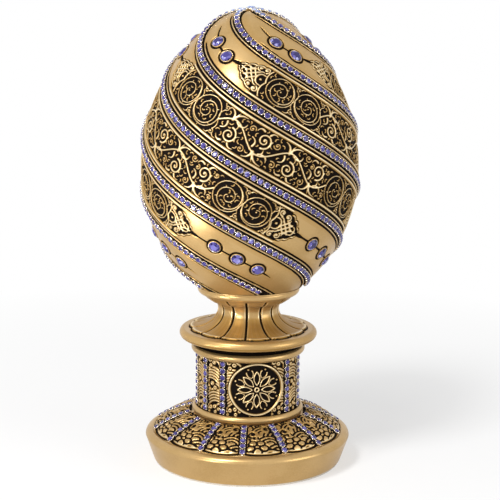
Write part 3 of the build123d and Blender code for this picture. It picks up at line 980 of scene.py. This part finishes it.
def band_relief(station, share):
    """Height over the egg, dark of patina and painted shade, and pale of wear and painted highlights, on a
    grid of meridian distance and share of the band.
    """
    along, across = band_place(station, share)
    half = band_half(station)[0]
    off = half - np.abs(across)
    start = np.where(share < 0.5, left_rail_start, right_rail_start)
    fade = smooth(start, start + rail_fade, station)
    full_low, full_high = field_top + field_top_point, field_end - field_end_point
    full = smooth(full_low - border_fade, full_low, along)
    full = full * (1 - smooth(full_high, full_high + border_fade, along))
    rail = ridge(off, rail_place, rail_half) * fade
    border = ridge(off, border_place, border_half) * full
    rail_low, rail_high = rail_place - rail_half, rail_place + rail_half
    channel = 1 - smooth(rail_low - 0.1, rail_low + 0.1, off)
    groove_end = border_place - border_half - 0.2 * (1 - full)
    groove = smooth(rail_high - 0.1, rail_high + 0.05, off) * fade
    groove = groove * (1 - smooth(groove_end - 0.08, groove_end + 0.1, off))
    recess, drawn = field_relief(along, across, half, full)
    away, hair = hairlines(along, across)
    height = rail_top * rail + border_top * border - groove_depth * groove
    height -= channel * (channel_depth + trench_depth * smooth(1.1, 1.3, off))
    height += recess * (relief_height * drawn - field_depth) - hairline_depth * hair * (1 - recess)
    dark = np.maximum.reduce((channel * smooth(2.5, 6, station), smooth(0.12, 0.5, groove),
                              recess * (1 - smooth(0.25, 0.65, drawn)), smooth(0.08, 0.4, hair)))
    # Pale on the tops of rails, borders and ornament: wear, and painted highlights too
    polish_and_highlight = np.maximum.reduce((smooth(0.7, 1.0, rail), smooth(0.65, 1.0, border),
                                recess * smooth(0.7, 1.0, drawn)))
    for spot in upper_stones + lower_stones:
        x, y = band_place(*spot)
        distance = np.hypot(along - x, across - y)
        ring = 1 - smooth(0.6, 1.0, np.abs(distance - stone_ring_radius) / stone_ring_half)
        bezel = ridge(distance, bezel_place, bezel_half)
        within = distance < bezel_place + bezel_half
        height = np.where(within, bezel_top * bezel, height) - stone_ring_depth * ring
        dark = np.maximum(np.where(within, 0, dark), ring)
        polish_and_highlight = np.where(within, bezel, polish_and_highlight)
    # Painted shade: amber beside the borders and along the line through the larger stones, and darker low on
    # the egg
    amber = border_painted_shade * (1 - smooth(0.0, 2.6, off - border_place + 0.6))
    amber = amber + hairline_painted_shade * (1 - smooth(0.3, 2.0, away))
    amber = amber + low_painted_shade * smooth(low_painted_shade_start, low_painted_shade_end, station)
    amber = amber * (1 - recess) * (1 - border) * (station > 8)
    # Painted shade in the creases: darker where the surface lies below the mean of its neighbours
    hollow = np.clip(1.5 * (blurred(height, 3) - height), 0, 0.3)
    dark = np.maximum.reduce((dark, amber, hollow))
    return height, dark, 0.85 * polish_and_highlight * (1 - dark)


def build_bands():
    """Twelve closed pieces, turned copies of the halves of one band that runs from one row to the next."""
    last_station = float(np.interp(-(egg_base_z + band_end_gap), -egg_at(fine_station)[1], fine_station))
    lengths = np.linspace(row_length(band_top_station), row_length(last_station), 2 * half_rows + 1)
    edge_shares = np.linspace(0, field_edge, rail_columns) / (2 * widest_half)
    middle = np.linspace(edge_shares[-1], 1 - edge_shares[-1], field_columns + 1)[1:-1]
    share = np.concatenate((edge_shares, middle, 1 - edge_shares[::-1]))
    station, share = np.meshgrid(np.interp(lengths, fine_length, fine_station), share, indexing="ij")
    height, dark, polish_and_highlight = band_relief(station, share)
    radius, level, tilt = egg_at(station)
    faces = grid_faces(half_rows + 1, share.shape[1], False, True)
    for row in range(row_count):
        turn = row_turn(station) + row_step * (row + share)
        points = around(radius + height * np.cos(tilt), level + height * np.sin(tilt), turn)
        for label, rows in (("upper", slice(0, half_rows + 1)), ("lower", slice(half_rows, None))):
            gold_mesh(f"egg_band_{row + 1}_{label}", points[rows], faces, dark[rows], polish_and_highlight[rows],
                      "egg_shell", 2)


ornament = band_canvas()
build_bands()

# Turned pieces of the stand


def straight(*corners, step):
    """Points along straight lines through (radius, height) corners, without the last one."""
    runs = []
    for first, last in zip(corners, corners[1:]):
        count = max(int(hypot(last[0] - first[0], last[1] - first[1]) / step), 1)
        runs.append(np.linspace(first, last, count, endpoint=False))
    return np.concatenate(runs)


def bow(centre, wide, high, first, last, count):
    """Points along part of an ellipse about (radius, height), between angles, without the last one."""
    angle = np.linspace(first, last, count, endpoint=False)
    return np.stack((centre[0] + wide * np.cos(angle), centre[1] + high * np.sin(angle)), 1)


def plain(points, turn):
    """Smooth clean gold: no height, no dark of patina or painted shade, no pale of wear or painted
    highlights.
    """
    return 0.0, 0.0, 0.0


def all_dark(points, turn):
    """Smooth surface under patina."""
    return 0.0, 1.0, 0.0


def turned_piece(name, node, columns, *runs):
    """Closed turned piece from runs, each with the relief on its rows and turns and its points."""
    profile = np.concatenate([points for _, points in runs])
    tangent = np.roll(profile, -1, 0) - np.roll(profile, 1, 0)
    normal = np.stack((tangent[:, 1], -tangent[:, 0]), 1) / np.hypot(*tangent.T)[:, None]
    turn = full_turn(columns)
    height, dark, polish_and_highlight = np.zeros((3, len(profile), columns))
    start = 0
    for relief, points in runs:
        rows = slice(start, start + len(points))
        height[rows], dark[rows], polish_and_highlight[rows] = relief(points, turn)
        start += len(points)
    radius = profile[:, :1] + normal[:, :1] * height
    level = profile[:, 1:] + normal[:, 1:] * height
    points = around(radius, level, np.broadcast_to(turn, radius.shape))
    gold_mesh(name, points, grid_faces(len(profile), columns, True, False), dark, polish_and_highlight, node)


def panel_share(turn):
    """Place within a repeat of the stand, from -0.5 to 0.5, with the stone rows at its ends."""
    share = (turn - stand_turn) / stand_step
    return share - np.round(share)


def petal_relief(points, turn):
    """Petals of the neck: round across, dark grooves between them and lobed ends on the flange, with painted
    highlights and an amber painted reflection below the waist.
    """
    radius, level = points[:, :1], points[:, 1:]
    share = panel_share(turn)[None, :]
    off = (0.5 - np.abs(share)) * stand_step * radius
    lobe_end = flute_end_radius - petal_inset - petal_lobe * (2 * np.abs(share)) ** 3
    past = np.where(level < waist_z, radius - lobe_end, -9.0)
    rise = 1 - smooth(lip_z - lip_tube - 1.0, lip_z - lip_tube - 0.2, level)
    petal = np.clip(1 - (2 * share) ** 6, 0, 1) ** 0.5 * (1 - smooth(-0.35, 0.15, past))
    petal = petal * (petal_swell + petal_end_swell * smooth(-2.4, -0.6, past))
    groove = (1 - smooth(0.28, 0.6, off)) * (1 - smooth(0.3, 0.6, past))
    edge = 1 - smooth(0.14, 0.52, np.abs(past - 0.18))
    cut = np.maximum(groove, edge) * rise
    # Painted highlights: a pale rim inside each lobed end and a pale stripe beside each groove
    polish_and_highlight = smooth(-1.1, -0.6, past) * (1 - smooth(-0.2, 0.2, past))
    polish_and_highlight = np.maximum(polish_and_highlight, 0.8 * (1 - smooth(0.1, 0.3, np.abs(off - 0.76))) * (past < 0))
    # Painted reflection: streaked amber shade below the waist, where the flare would mirror darker
    # surroundings
    streak = 1 + 0.25 * np.sin(97 * turn) * np.sin(41 * turn + 1.0)
    amber = petal_painted_shade * smooth(1.0, 2.0, -past) * (1 - smooth(waist_z - 2.6, waist_z - 1.0, level)) * streak
    height = petal * rise - petal_groove_depth * np.maximum(groove * rise, edge * smooth(-0.1, 0.2, past))
    return height, np.maximum(cut, amber), polish_and_highlight * (1 - cut) * rise


def flange_relief(points, turn):
    """Rounded edge of the flange, with a brown line low on it and a light painted shade over all of it."""
    line = 1 - smooth(0.14, 0.34, np.abs(points[:, 1:] - flange_z + flange_line_drop) + 0 * turn)
    # The 0.09 everywhere is painted shade that tones the flange down
    return -0.15 * line, np.maximum(0.55 * line, 0.09), 0.0


def build_neck():
    """Spigot, flange, fluted waist and the lip around the egg, with the seat inside it."""
    flange_low, flange_top = flange_z - flange_tube, flange_z + flange_tube
    flange_centre = flange_radius - flange_tube
    lip_centre = lip_radius - lip_tube
    flare_end = waist_radius + upper_flare_run
    seat_radius = egg_bottom_arc + seat_gap
    seat_low, seat_high = egg_base_z - seat_gap, lip_z + 0.8 * lip_tube

    def seat_at(level):
        """Radius of the seat at a height and its angle about the middle of the egg's lower arc."""
        rise = level - egg_bottom_centre_z
        radius = sqrt(seat_radius ** 2 - rise ** 2)
        return radius, atan2(rise, radius)

    floor_radius, seat_last = seat_at(seat_low)
    turned_piece(
        "neck_casting", "neck", stand_columns,
        (plain, straight((rod_hole_radius, neck_spigot_low_z), (neck_spigot_radius, neck_spigot_low_z),
                         (neck_spigot_radius, drum_high_z), (flange_foot_radius, drum_high_z), step=2.0)),
        (all_dark, straight((flange_foot_radius, drum_high_z), (flange_foot_radius, flange_low),
                            (flange_centre, flange_low), step=0.8)),
        (flange_relief, bow((flange_centre, flange_z), flange_tube, flange_tube, -pi / 2, pi / 2, 20)),
        (petal_relief, straight((flange_centre, flange_top), (flute_end_radius, flange_top), step=0.15)),
        (petal_relief, bow((flute_end_radius, waist_z), flute_end_radius - waist_radius, waist_z - flange_top,
                           3 * pi / 2, pi, 56)),
        (petal_relief, bow((flare_end, waist_z), upper_flare_run, upper_flare_rise, pi, pi / 2, 14)),
        (petal_relief, straight((flare_end, waist_z + upper_flare_rise), (lip_centre, lip_z - lip_tube),
                                step=0.8)),
        (plain, bow((lip_centre, lip_z), lip_tube, lip_tube, -pi / 2, radians(40), 10)),
        (plain, bow((0, egg_bottom_centre_z), seat_radius, seat_radius, seat_at(seat_high)[1], seat_last, 6)),
        (plain, straight((floor_radius, seat_low), (rod_hole_radius, seat_low),
                         (rod_hole_radius, neck_spigot_low_z), step=5.0)),
    )


def drum_canvas():
    """Ornament of one panel of the drum, from its upper edge down: berries and two striped leaves."""
    half = pi * drum_radius / stand_count
    canvas = Canvas(-half, half, 0, wall_high_z - wall_low_z)
    for n in range(5):
        wide = 0.6 - 0.03 * n
        canvas.curl((-3.1, 4.2 + 1.1 * n), (3.1 - 0.2 * n, 5.0 + 1.25 * n), -0.16, wide, 0.44)
        canvas.curl((3.1, 13.4 + 1.15 * n), (0.2 * n - 3.1, 14.6 + 1.2 * n), 0.16, wide, 0.44)
    for start, end, bend in (((1.3, 0.7), (3.0, 3.6), -0.25), ((-3.1, 0.7), (-1.2, 0.8), 0.3),
                             ((-3.1, 9.6), (-2.3, 12.4), 0.2), ((1.6, 10.6), (3.1, 12.8), -0.25),
                             ((2.6, 9.8), (3.1, 11.4), -0.2), ((3.1, 19.0), (1.7, 20.0), 0.25),
                             ((-3.1, 20.2), (-2.4, 22.0), 0.2)):
        canvas.curl(start, end, bend, 0.6, 0.32)
    for x, y, radius in ((0.2, 1.5, 1.05), (-1.7, 3.0, 0.95), (-0.8, 10.6, 1.0), (0.8, 12.3, 1.0),
                         (-2.2, 13.2, 0.7), (0.6, 20.4, 0.95), (2.5, 21.2, 0.75), (-1.6, 21.0, 0.95),
                         (0.9, 22.6, 0.8), (-2.6, 22.8, 0.6)):
        canvas.wipe(x, y, radius + 0.22)
        canvas.stamp(x, y, radius, hollow=0.16)
    return canvas


def drum_relief(points, turn):
    """Wall of the drum: panels of ornament on a dark ground, with a flat channel for each row of stones."""
    pitch = stand_step * drum_radius
    down = np.broadcast_to(wall_high_z - points[:, 1:], (len(points), len(turn)))
    across = np.broadcast_to(panel_share(turn) * pitch, down.shape)
    off = 0.5 * pitch - np.abs(across)
    drawn = drum_ornament.sample(across, down) * smooth(1.6, 1.8, off)
    aside = drum_radius * np.sin(turn - stand_turn) + 99 * (np.cos(turn - stand_turn) < 0)
    drawn = drawn * (np.hypot(aside, down - (wall_high_z - wall_low_z) / 2) > medallion_radius + 0.35)
    ground = smooth(1.5, 1.65, off)
    channel = drum_radius - drum_channel_floor + glue_gap
    height = drum_relief_height * drawn - drum_ground_depth * ground - (1 - ground) * channel
    # Dark ground between the ornament; its tops paler with wear, and with painted highlights too
    return height, 1 - smooth(0.25, 0.7, drawn), 0.5 * smooth(0.75, 1.0, drawn)


def build_drum():
    """Ring, ornamented wall and collar, with the socket and the bore inside."""
    plate_z = drum_high_z - socket_depth
    socket_radius = neck_spigot_radius + socket_gap
    ring_centre, collar_centre = ring_radius - bead_tube, collar_radius - bead_tube
    collar_top = collar_z + bead_tube
    turned_piece(
        "drum_casting", "drum", stand_columns,
        (plain, straight((drum_bore, drum_low_z), (drum_end_radius, drum_low_z),
                         (drum_end_radius, ring_z - bead_tube), step=1.0)),
        (plain, bow((ring_centre, ring_z), bead_tube, bead_tube, -pi / 2, pi / 2, 10)),
        (all_dark, straight((ring_centre, wall_low_z), (drum_radius, wall_low_z), step=0.2)),
        (drum_relief, straight((drum_radius, wall_low_z), (drum_radius, wall_high_z), step=0.25)),
        (all_dark, straight((drum_radius, wall_high_z), (collar_centre, wall_high_z), step=0.2)),
        (plain, bow((collar_centre, collar_z), bead_tube, bead_tube, -pi / 2, pi / 2, 10)),
        (all_dark, straight((collar_centre, collar_top), (drum_end_radius, collar_top),
                            (drum_end_radius, drum_high_z), (socket_radius, drum_high_z),
                            (socket_radius, plate_z), (drum_bore, plate_z), (drum_bore, drum_low_z),
                            step=4.0)),
    )


def build_drum_rows():
    """Upright rows of the drum, left out where the medallion is."""
    levels = wall_middle_z + chain_pitch * (np.arange(drum_stone_count) - (drum_stone_count - 1) / 2)
    turns = stand_turn + stand_step * (np.arange(1, stand_count - 1) + 0.5)
    level, turn = np.meshgrid(levels, turns)
    chain("drum_row_cups", "drum_row_stones",
          places_on(drum_channel_floor, level.ravel(), 0.0, turn.ravel(), 0.0), 62)


def foot_canvas():
    """Lines carved into one panel of the foot: overlapping scales, volutes and a flower near the edge."""
    canvas = Canvas(-foot_panel_half, foot_panel_half, 0, foot_panel_length)
    for x, y in ((3.2, 3.8), (-3.4, 5.6), (0.8, 8.6), (4.6, 10.4), (-4.4, 11.6), (2.2, 13.8), (4.4, 17.4),
                 (-4.4, 18.8), (1.6, 19.4)):
        canvas.wipe(x, y, 3.8)
        canvas.rings(x, y, (1.3, 2.5, 3.7), 174, 366, 0.4)
    for x, y, way in ((-0.8, 2.6, 1), (2.6, 6.6, -1), (-2.4, 9.0, 1)):
        canvas.wipe(x, y, 1.9)
        canvas.spiral(x, y, 1.6, 1.2, 1.1, way, 0.46, 0.34)
    flower_x, flower_y = -1.4, 14.6
    canvas.wipe(flower_x, flower_y, 3.1)
    for angle in full_turn(5) + 0.3:
        canvas.rings(flower_x + 1.75 * cos(angle), flower_y + 1.75 * sin(angle), (1.1,), 0, 360, 0.34)
    return canvas


def dome_relief(points, turn):
    """Dome of the foot, from its edge up: cushioned panels with lobed ends and carved lines, dark beside
    the rows, with painted shade at its top under the drum and painted highlights on the lobes and lines."""
    radius = points[:, :1]
    rise = np.concatenate(([0], np.cumsum(np.hypot(*np.diff(points, axis=0).T))))[:, None]
    run = rise[-1] - rise
    share = panel_share(turn)[None, :]
    pitch = stand_step * radius
    across = share * pitch
    off = pitch / 2 - np.abs(across)
    half = pitch / 2 - 1.6
    past = 0.8 + 1.2 * np.abs(2 * share) ** 2.5 - rise
    x = np.clip(across / half, -1, 1) * foot_panel_half
    y = foot_panel_length - foot_scale * rise + 0 * share
    lines = foot_ornament.sample(foot_scale * x, y) * (1 - smooth(-0.9, -0.4, past))
    cushion = np.sqrt(np.clip(1 - (across / half) ** 4, 0, 1)) * (1 - smooth(-2.5, 0.3, past))
    panel = smooth(1.5, 1.75, off) * (1 - smooth(-0.1, 0.15, past))
    edge = 1 - smooth(0.4, 0.7, np.abs(past - 0.45))
    row = (1 - smooth(1.65, 1.95, off)) * (1 - smooth(0.0, 0.3, past))
    # Painted shade at the top of the dome, where the drum's ring stands over it
    upper = 1 - smooth(0.3, 0.9, run + 0 * share)
    height = panel * (foot_cushion * cushion - 0.1 - foot_line_depth * lines) - 0.35 * edge - 0.1 * row
    dark = np.maximum.reduce((panel * smooth(0.3, 0.7, lines), edge, row, upper))
    amber = foot_amber * panel * (1 - smooth(0.25, 0.8, run / rise[-1]))
    # Painted highlights: a pale rim along each carved line and a pale lobe at each panel's end
    rim = smooth(0.02, 0.2, lines) * (1 - smooth(0.2, 0.4, lines)) * panel
    lobe = (1 - smooth(0.1, 0.5, np.abs(past + 0.5))) * smooth(2.0, 3.0, off)
    return height, np.maximum(dark, amber), 0.9 * np.maximum(rim, 0.8 * lobe) * (1 - dark)


def build_foot():
    """Rim and core with the spigot for the drum and the hollow under it, the carved dome and its rows."""
    shoulder_z = foot_rim_z + foot_shoulder_rise
    run, fall = foot_shoulder_radius - foot_top_radius, foot_top_z - shoulder_z
    dome_radius = (hypot(run, fall) ** 2 / 4 + foot_dome_bulge ** 2) / (2 * foot_dome_bulge)
    tilt = atan2(run, fall)
    centre_r = (foot_shoulder_radius + foot_top_radius) / 2 - (dome_radius - foot_dome_bulge) * cos(tilt)
    centre_z = (shoulder_z + foot_top_z) / 2 - (dome_radius - foot_dome_bulge) * sin(tilt)
    first = atan2(foot_top_z - centre_z, foot_top_radius - centre_r)
    last = atan2(shoulder_z - centre_z, foot_shoulder_radius - centre_r)

    def dome(inset, start, end, count):
        """Points along the dome, or along a curve set in from it."""
        return bow((centre_r, centre_z), dome_radius - inset, dome_radius - inset, start, end, count)

    heel_radius = foot_bottom_radius - foot_heel
    turned_piece(
        "foot_casting", "foot", foot_columns,
        (plain, straight((foot_cavity_radius, foot_cavity_z), (foot_cavity_radius, foot_bottom_z),
                         (heel_radius, foot_bottom_z), step=1.0)),
        (plain, bow((heel_radius, foot_bottom_z + foot_heel), foot_heel, foot_heel,
                    -pi / 2, radians(-15), 5)),
        (plain, straight((foot_bottom_radius, foot_bottom_z + 0.4), (foot_rim_radius, foot_rim_z), step=0.7)),
        (plain, bow((foot_shoulder_radius, foot_rim_z), foot_rim_radius - foot_shoulder_radius,
                    foot_shoulder_rise, 0, pi / 2, 18)),
        (plain, dome(foot_skin + foot_skin_gap, last, first, core_rows)),
        (plain, straight((foot_top_radius, foot_top_z), (foot_spigot_radius, foot_top_z),
                         (foot_spigot_radius, foot_spigot_z), (rod_hole_radius, foot_spigot_z),
                         (rod_hole_radius, foot_cavity_z), (foot_cavity_radius, foot_cavity_z), step=2.0)),
    )
    # The underside of the dome's skin has its last point on the shoulder
    skin_end = first + (last - first) * skin_rows / (skin_rows - 1)
    turned_piece("foot_dome", "foot", dome_columns, (dome_relief, dome(0, last, first, dome_rows)),
                 (plain, dome(foot_skin, first, skin_end, skin_rows)))
    steps = np.arange(foot_stone_count) - (foot_stone_count - 1) / 2
    angle = np.tile((first + last) / 2 - chain_pitch * steps / dome_radius, stand_count)
    turn = np.repeat(stand_turn + stand_step * (np.arange(stand_count) + 0.5), foot_stone_count)
    radius, level = centre_r + dome_radius * np.cos(angle), centre_z + dome_radius * np.sin(angle)
    chain("foot_row_cups", "foot_row_stones", places_on(radius, level, angle, turn, 0.0), 61)


def medallion_canvas():
    """Eight-fold rosette of open petals with a leaf and a dot between each two."""
    canvas = Canvas(-medallion_radius, medallion_radius, -medallion_radius, medallion_radius)
    canvas.stamp(0, 0, 1.2, hollow=0.45)
    for angle in full_turn(8):
        out = np.array((cos(angle), sin(angle)))
        gap = np.array((cos(angle + pi / 8), sin(angle + pi / 8)))
        aside = np.array((-gap[1], gap[0]))
        for way in (-1, 1):
            canvas.curl(out * 1.9, out * 7.6, 0.21 * way, 0.24, 0.34)
            canvas.curl(gap * 5.4, gap * 8.3 + way * 1.2 * aside, 0.2 * way, 0.18, 0.28)
        canvas.stamp(*(gap * 9.2), 0.4)
    return canvas


def build_medallion():
    """Round plaque bent to the drum, with a bead around a dark ground."""
    middle = 0.05
    rings = np.append(np.linspace(middle, medallion_radius, medallion_rings), (medallion_radius, middle))
    distance, angle = np.meshgrid(rings, full_turn(medallion_spokes), indexing="ij")
    x, z = distance * np.cos(angle), distance * np.sin(angle)
    bead_place = medallion_radius - medallion_bead
    bead = ridge(distance, bead_place, medallion_bead)
    drawn = medallion_canvas().sample(x, z) * (distance < bead_place - medallion_bead)
    height = np.maximum(medallion_bead_top * bead, medallion_relief * drawn)
    radius = medallion_ground + height
    radius[-2:] = medallion_back
    points = around(radius, wall_middle_z + z, stand_turn + np.arcsin(x / drum_radius))
    # Dark ground; bead and ornament tops paler with wear, and with painted highlights too
    gold_mesh("medallion_plaque", points, grid_faces(*distance.shape, False, True),
              1 - smooth(0.08, 0.34, height), 0.8 * smooth(0.7, 1.0, np.maximum(bead, drawn)), "medallion")


def build_egg_base():
    """Flat base and boss inside the lower end of the egg."""
    outer = sqrt(egg_bottom_arc ** 2 - (egg_bottom_centre_z - egg_base_z) ** 2) - 0.3
    inside_z, boss_z = egg_base_z + egg_wall, egg_base_z + egg_boss_height
    turned_piece(
        "egg_base", "egg_shell", base_columns,
        (plain, straight((insert_hole_radius, egg_base_z), (outer, egg_base_z), (outer, egg_base_z + 0.4),
                         (egg_boss_radius + 1, inside_z), (egg_boss_radius, inside_z),
                         (egg_boss_radius, boss_z), (insert_hole_radius, boss_z),
                         (insert_hole_radius, egg_base_z), step=2.0)),
    )


drum_ornament = drum_canvas()
foot_ornament = foot_canvas()
build_neck()
build_drum()
build_drum_rows()
build_foot()
build_medallion()
build_egg_base()

# Nodes that keep their own shape
kept = {
    "felt_pad": felt_finish(),
    "egg_insert": turned_finish("insert_brass", (0.72, 0.52, 0.22), 0.3),
    "tie_rod": turned_finish("rod_steel", (0.62, 0.62, 0.64), 0.32),
    "rod_washer": turned_finish("washer_steel", (0.64, 0.64, 0.66), 0.3),
    "rod_nut": turned_finish("nut_steel", (0.60, 0.60, 0.63), 0.3),
}
for node, material in kept.items():
    mesh = frame["nodes"][node].data
    mesh.materials.clear()
    mesh.materials.append(material)

# Floor, world, lights and camera: places in metres
floor_half = 6.0
floor_near, floor_far = 0.10, 0.34
floor_share = 0.55
world_strength = 0.4
camera_place = (0, -0.6264, 0.2145)
camera_pitch = radians(11.23)
camera_roll = radians(0.55)


def white_rays(tree):
    """1 for camera, glossy and transmission rays."""
    path = add_node(tree, "ShaderNodeLightPath").outputs
    seen = math(tree, "MAXIMUM", path["Is Camera Ray"], path["Is Glossy Ray"])
    return math(tree, "MAXIMUM", seen, path["Is Transmission Ray"])


def build_floor():
    """White floor that keeps the shadow near the object and turns pure white further out."""
    mesh = bpy.data.meshes.new("floor")
    corners = [(x * floor_half, y * floor_half, 0) for x, y in ((-1, -1), (1, -1), (1, 1), (-1, 1))]
    mesh.from_pydata(corners, [], [(0, 1, 2, 3)])
    floor = bpy.data.objects.new("floor", mesh)
    bpy.context.scene.collection.objects.link(floor)
    material, tree, shader = new_material("floor")
    plug(tree, shader, Base_Color=(0.92, 0.92, 0.92), Roughness=0.9, Specular_IOR_Level=0.0)
    distance = add_node(tree, "ShaderNodeVectorMath", operation="LENGTH", Vector=own_space(tree))
    fade = add_node(tree, "ShaderNodeMapRange", From_Min=floor_near, From_Max=floor_far, To_Min=floor_share,
                    To_Max=1.0, Value=distance.outputs["Value"])
    share = math(tree, "MULTIPLY", fade.outputs["Result"], white_rays(tree))
    glow = add_node(tree, "ShaderNodeEmission", Color=(1, 1, 1), Strength=1.0)
    blend = add_node(tree, "ShaderNodeMixShader")
    for socket, value in zip(blend.inputs, (share, shader.outputs[0], glow.outputs[0])):
        feed(tree, socket, value)
    plug(tree, tree.nodes["Material Output"], Surface=blend.outputs[0])
    mesh.materials.append(material)


def build_world():
    """Even white surroundings, dimmer as a light than as a background."""
    world = bpy.data.worlds.new("studio")
    bpy.context.scene.world = world
    world.use_nodes = True
    tree = world.node_tree
    extra = math(tree, "MULTIPLY", white_rays(tree), 1 - world_strength)
    plug(tree, tree.nodes["Background"], Color=(1, 1, 1), Strength=math(tree, "ADD", world_strength, extra))


def area_light(name, place, target, size, power, spread=pi):
    """Soft lamp that faces a point and isn't seen itself."""
    lamp = bpy.data.lights.new(name, "AREA")
    lamp.shape = "DISK"
    lamp.size = size
    lamp.energy = power
    lamp.spread = spread
    light = bpy.data.objects.new(name, lamp)
    light.visible_camera = False
    light.location = place
    light.rotation_euler = (Vector(target) - Vector(place)).to_track_quat("-Z", "Y").to_euler()
    bpy.context.scene.collection.objects.link(light)


def build_camera():
    """Camera as fitted to the photograph, with its slight roll."""
    data = bpy.data.cameras.new("camera")
    data.lens = 109.8
    data.sensor_width = 36.0
    data.shift_x = 0.002
    data.clip_end = 50.0
    camera = bpy.data.objects.new("camera", data)
    turned = Matrix.Rotation(pi / 2 - camera_pitch, 4, "X") @ Matrix.Rotation(camera_roll, 4, "Z")
    camera.matrix_world = Matrix.Translation(camera_place) @ turned
    bpy.context.scene.collection.objects.link(camera)
    bpy.context.scene.camera = camera


build_floor()
build_world()
area_light("key", (-0.36, -0.48, 0.86), (0, 0, 0.11), 0.24, 6.5)
area_light("side", (-0.50, -0.68, 0.26), (0, 0, 0.09), 0.20, 3.1)
area_light("fill", (0.70, -0.40, 0.26), (0, 0, 0.10), 0.50, 1.9)
area_light("low", (-0.18, -0.13, 0.02), (-0.015, -0.04, 0.115), 0.04, 0.024, radians(50))
build_camera()
bpy.context.scene.view_settings.view_transform = "Standard"


def visual_box():
    """Lowest and highest corners of everything that shows and isn't the floor."""
    corners = []
    bpy.context.view_layer.update()
    for piece in bpy.context.scene.objects:
        if piece.type == "MESH" and not piece.hide_render and piece.name != "floor":
            corners += [piece.matrix_world @ Vector(corner) for corner in piece.bound_box]
    corners = np.array([tuple(corner) for corner in corners])
    return corners.min(0), corners.max(0)


boxes = {"cad": cad_box, "visual": visual_box()}
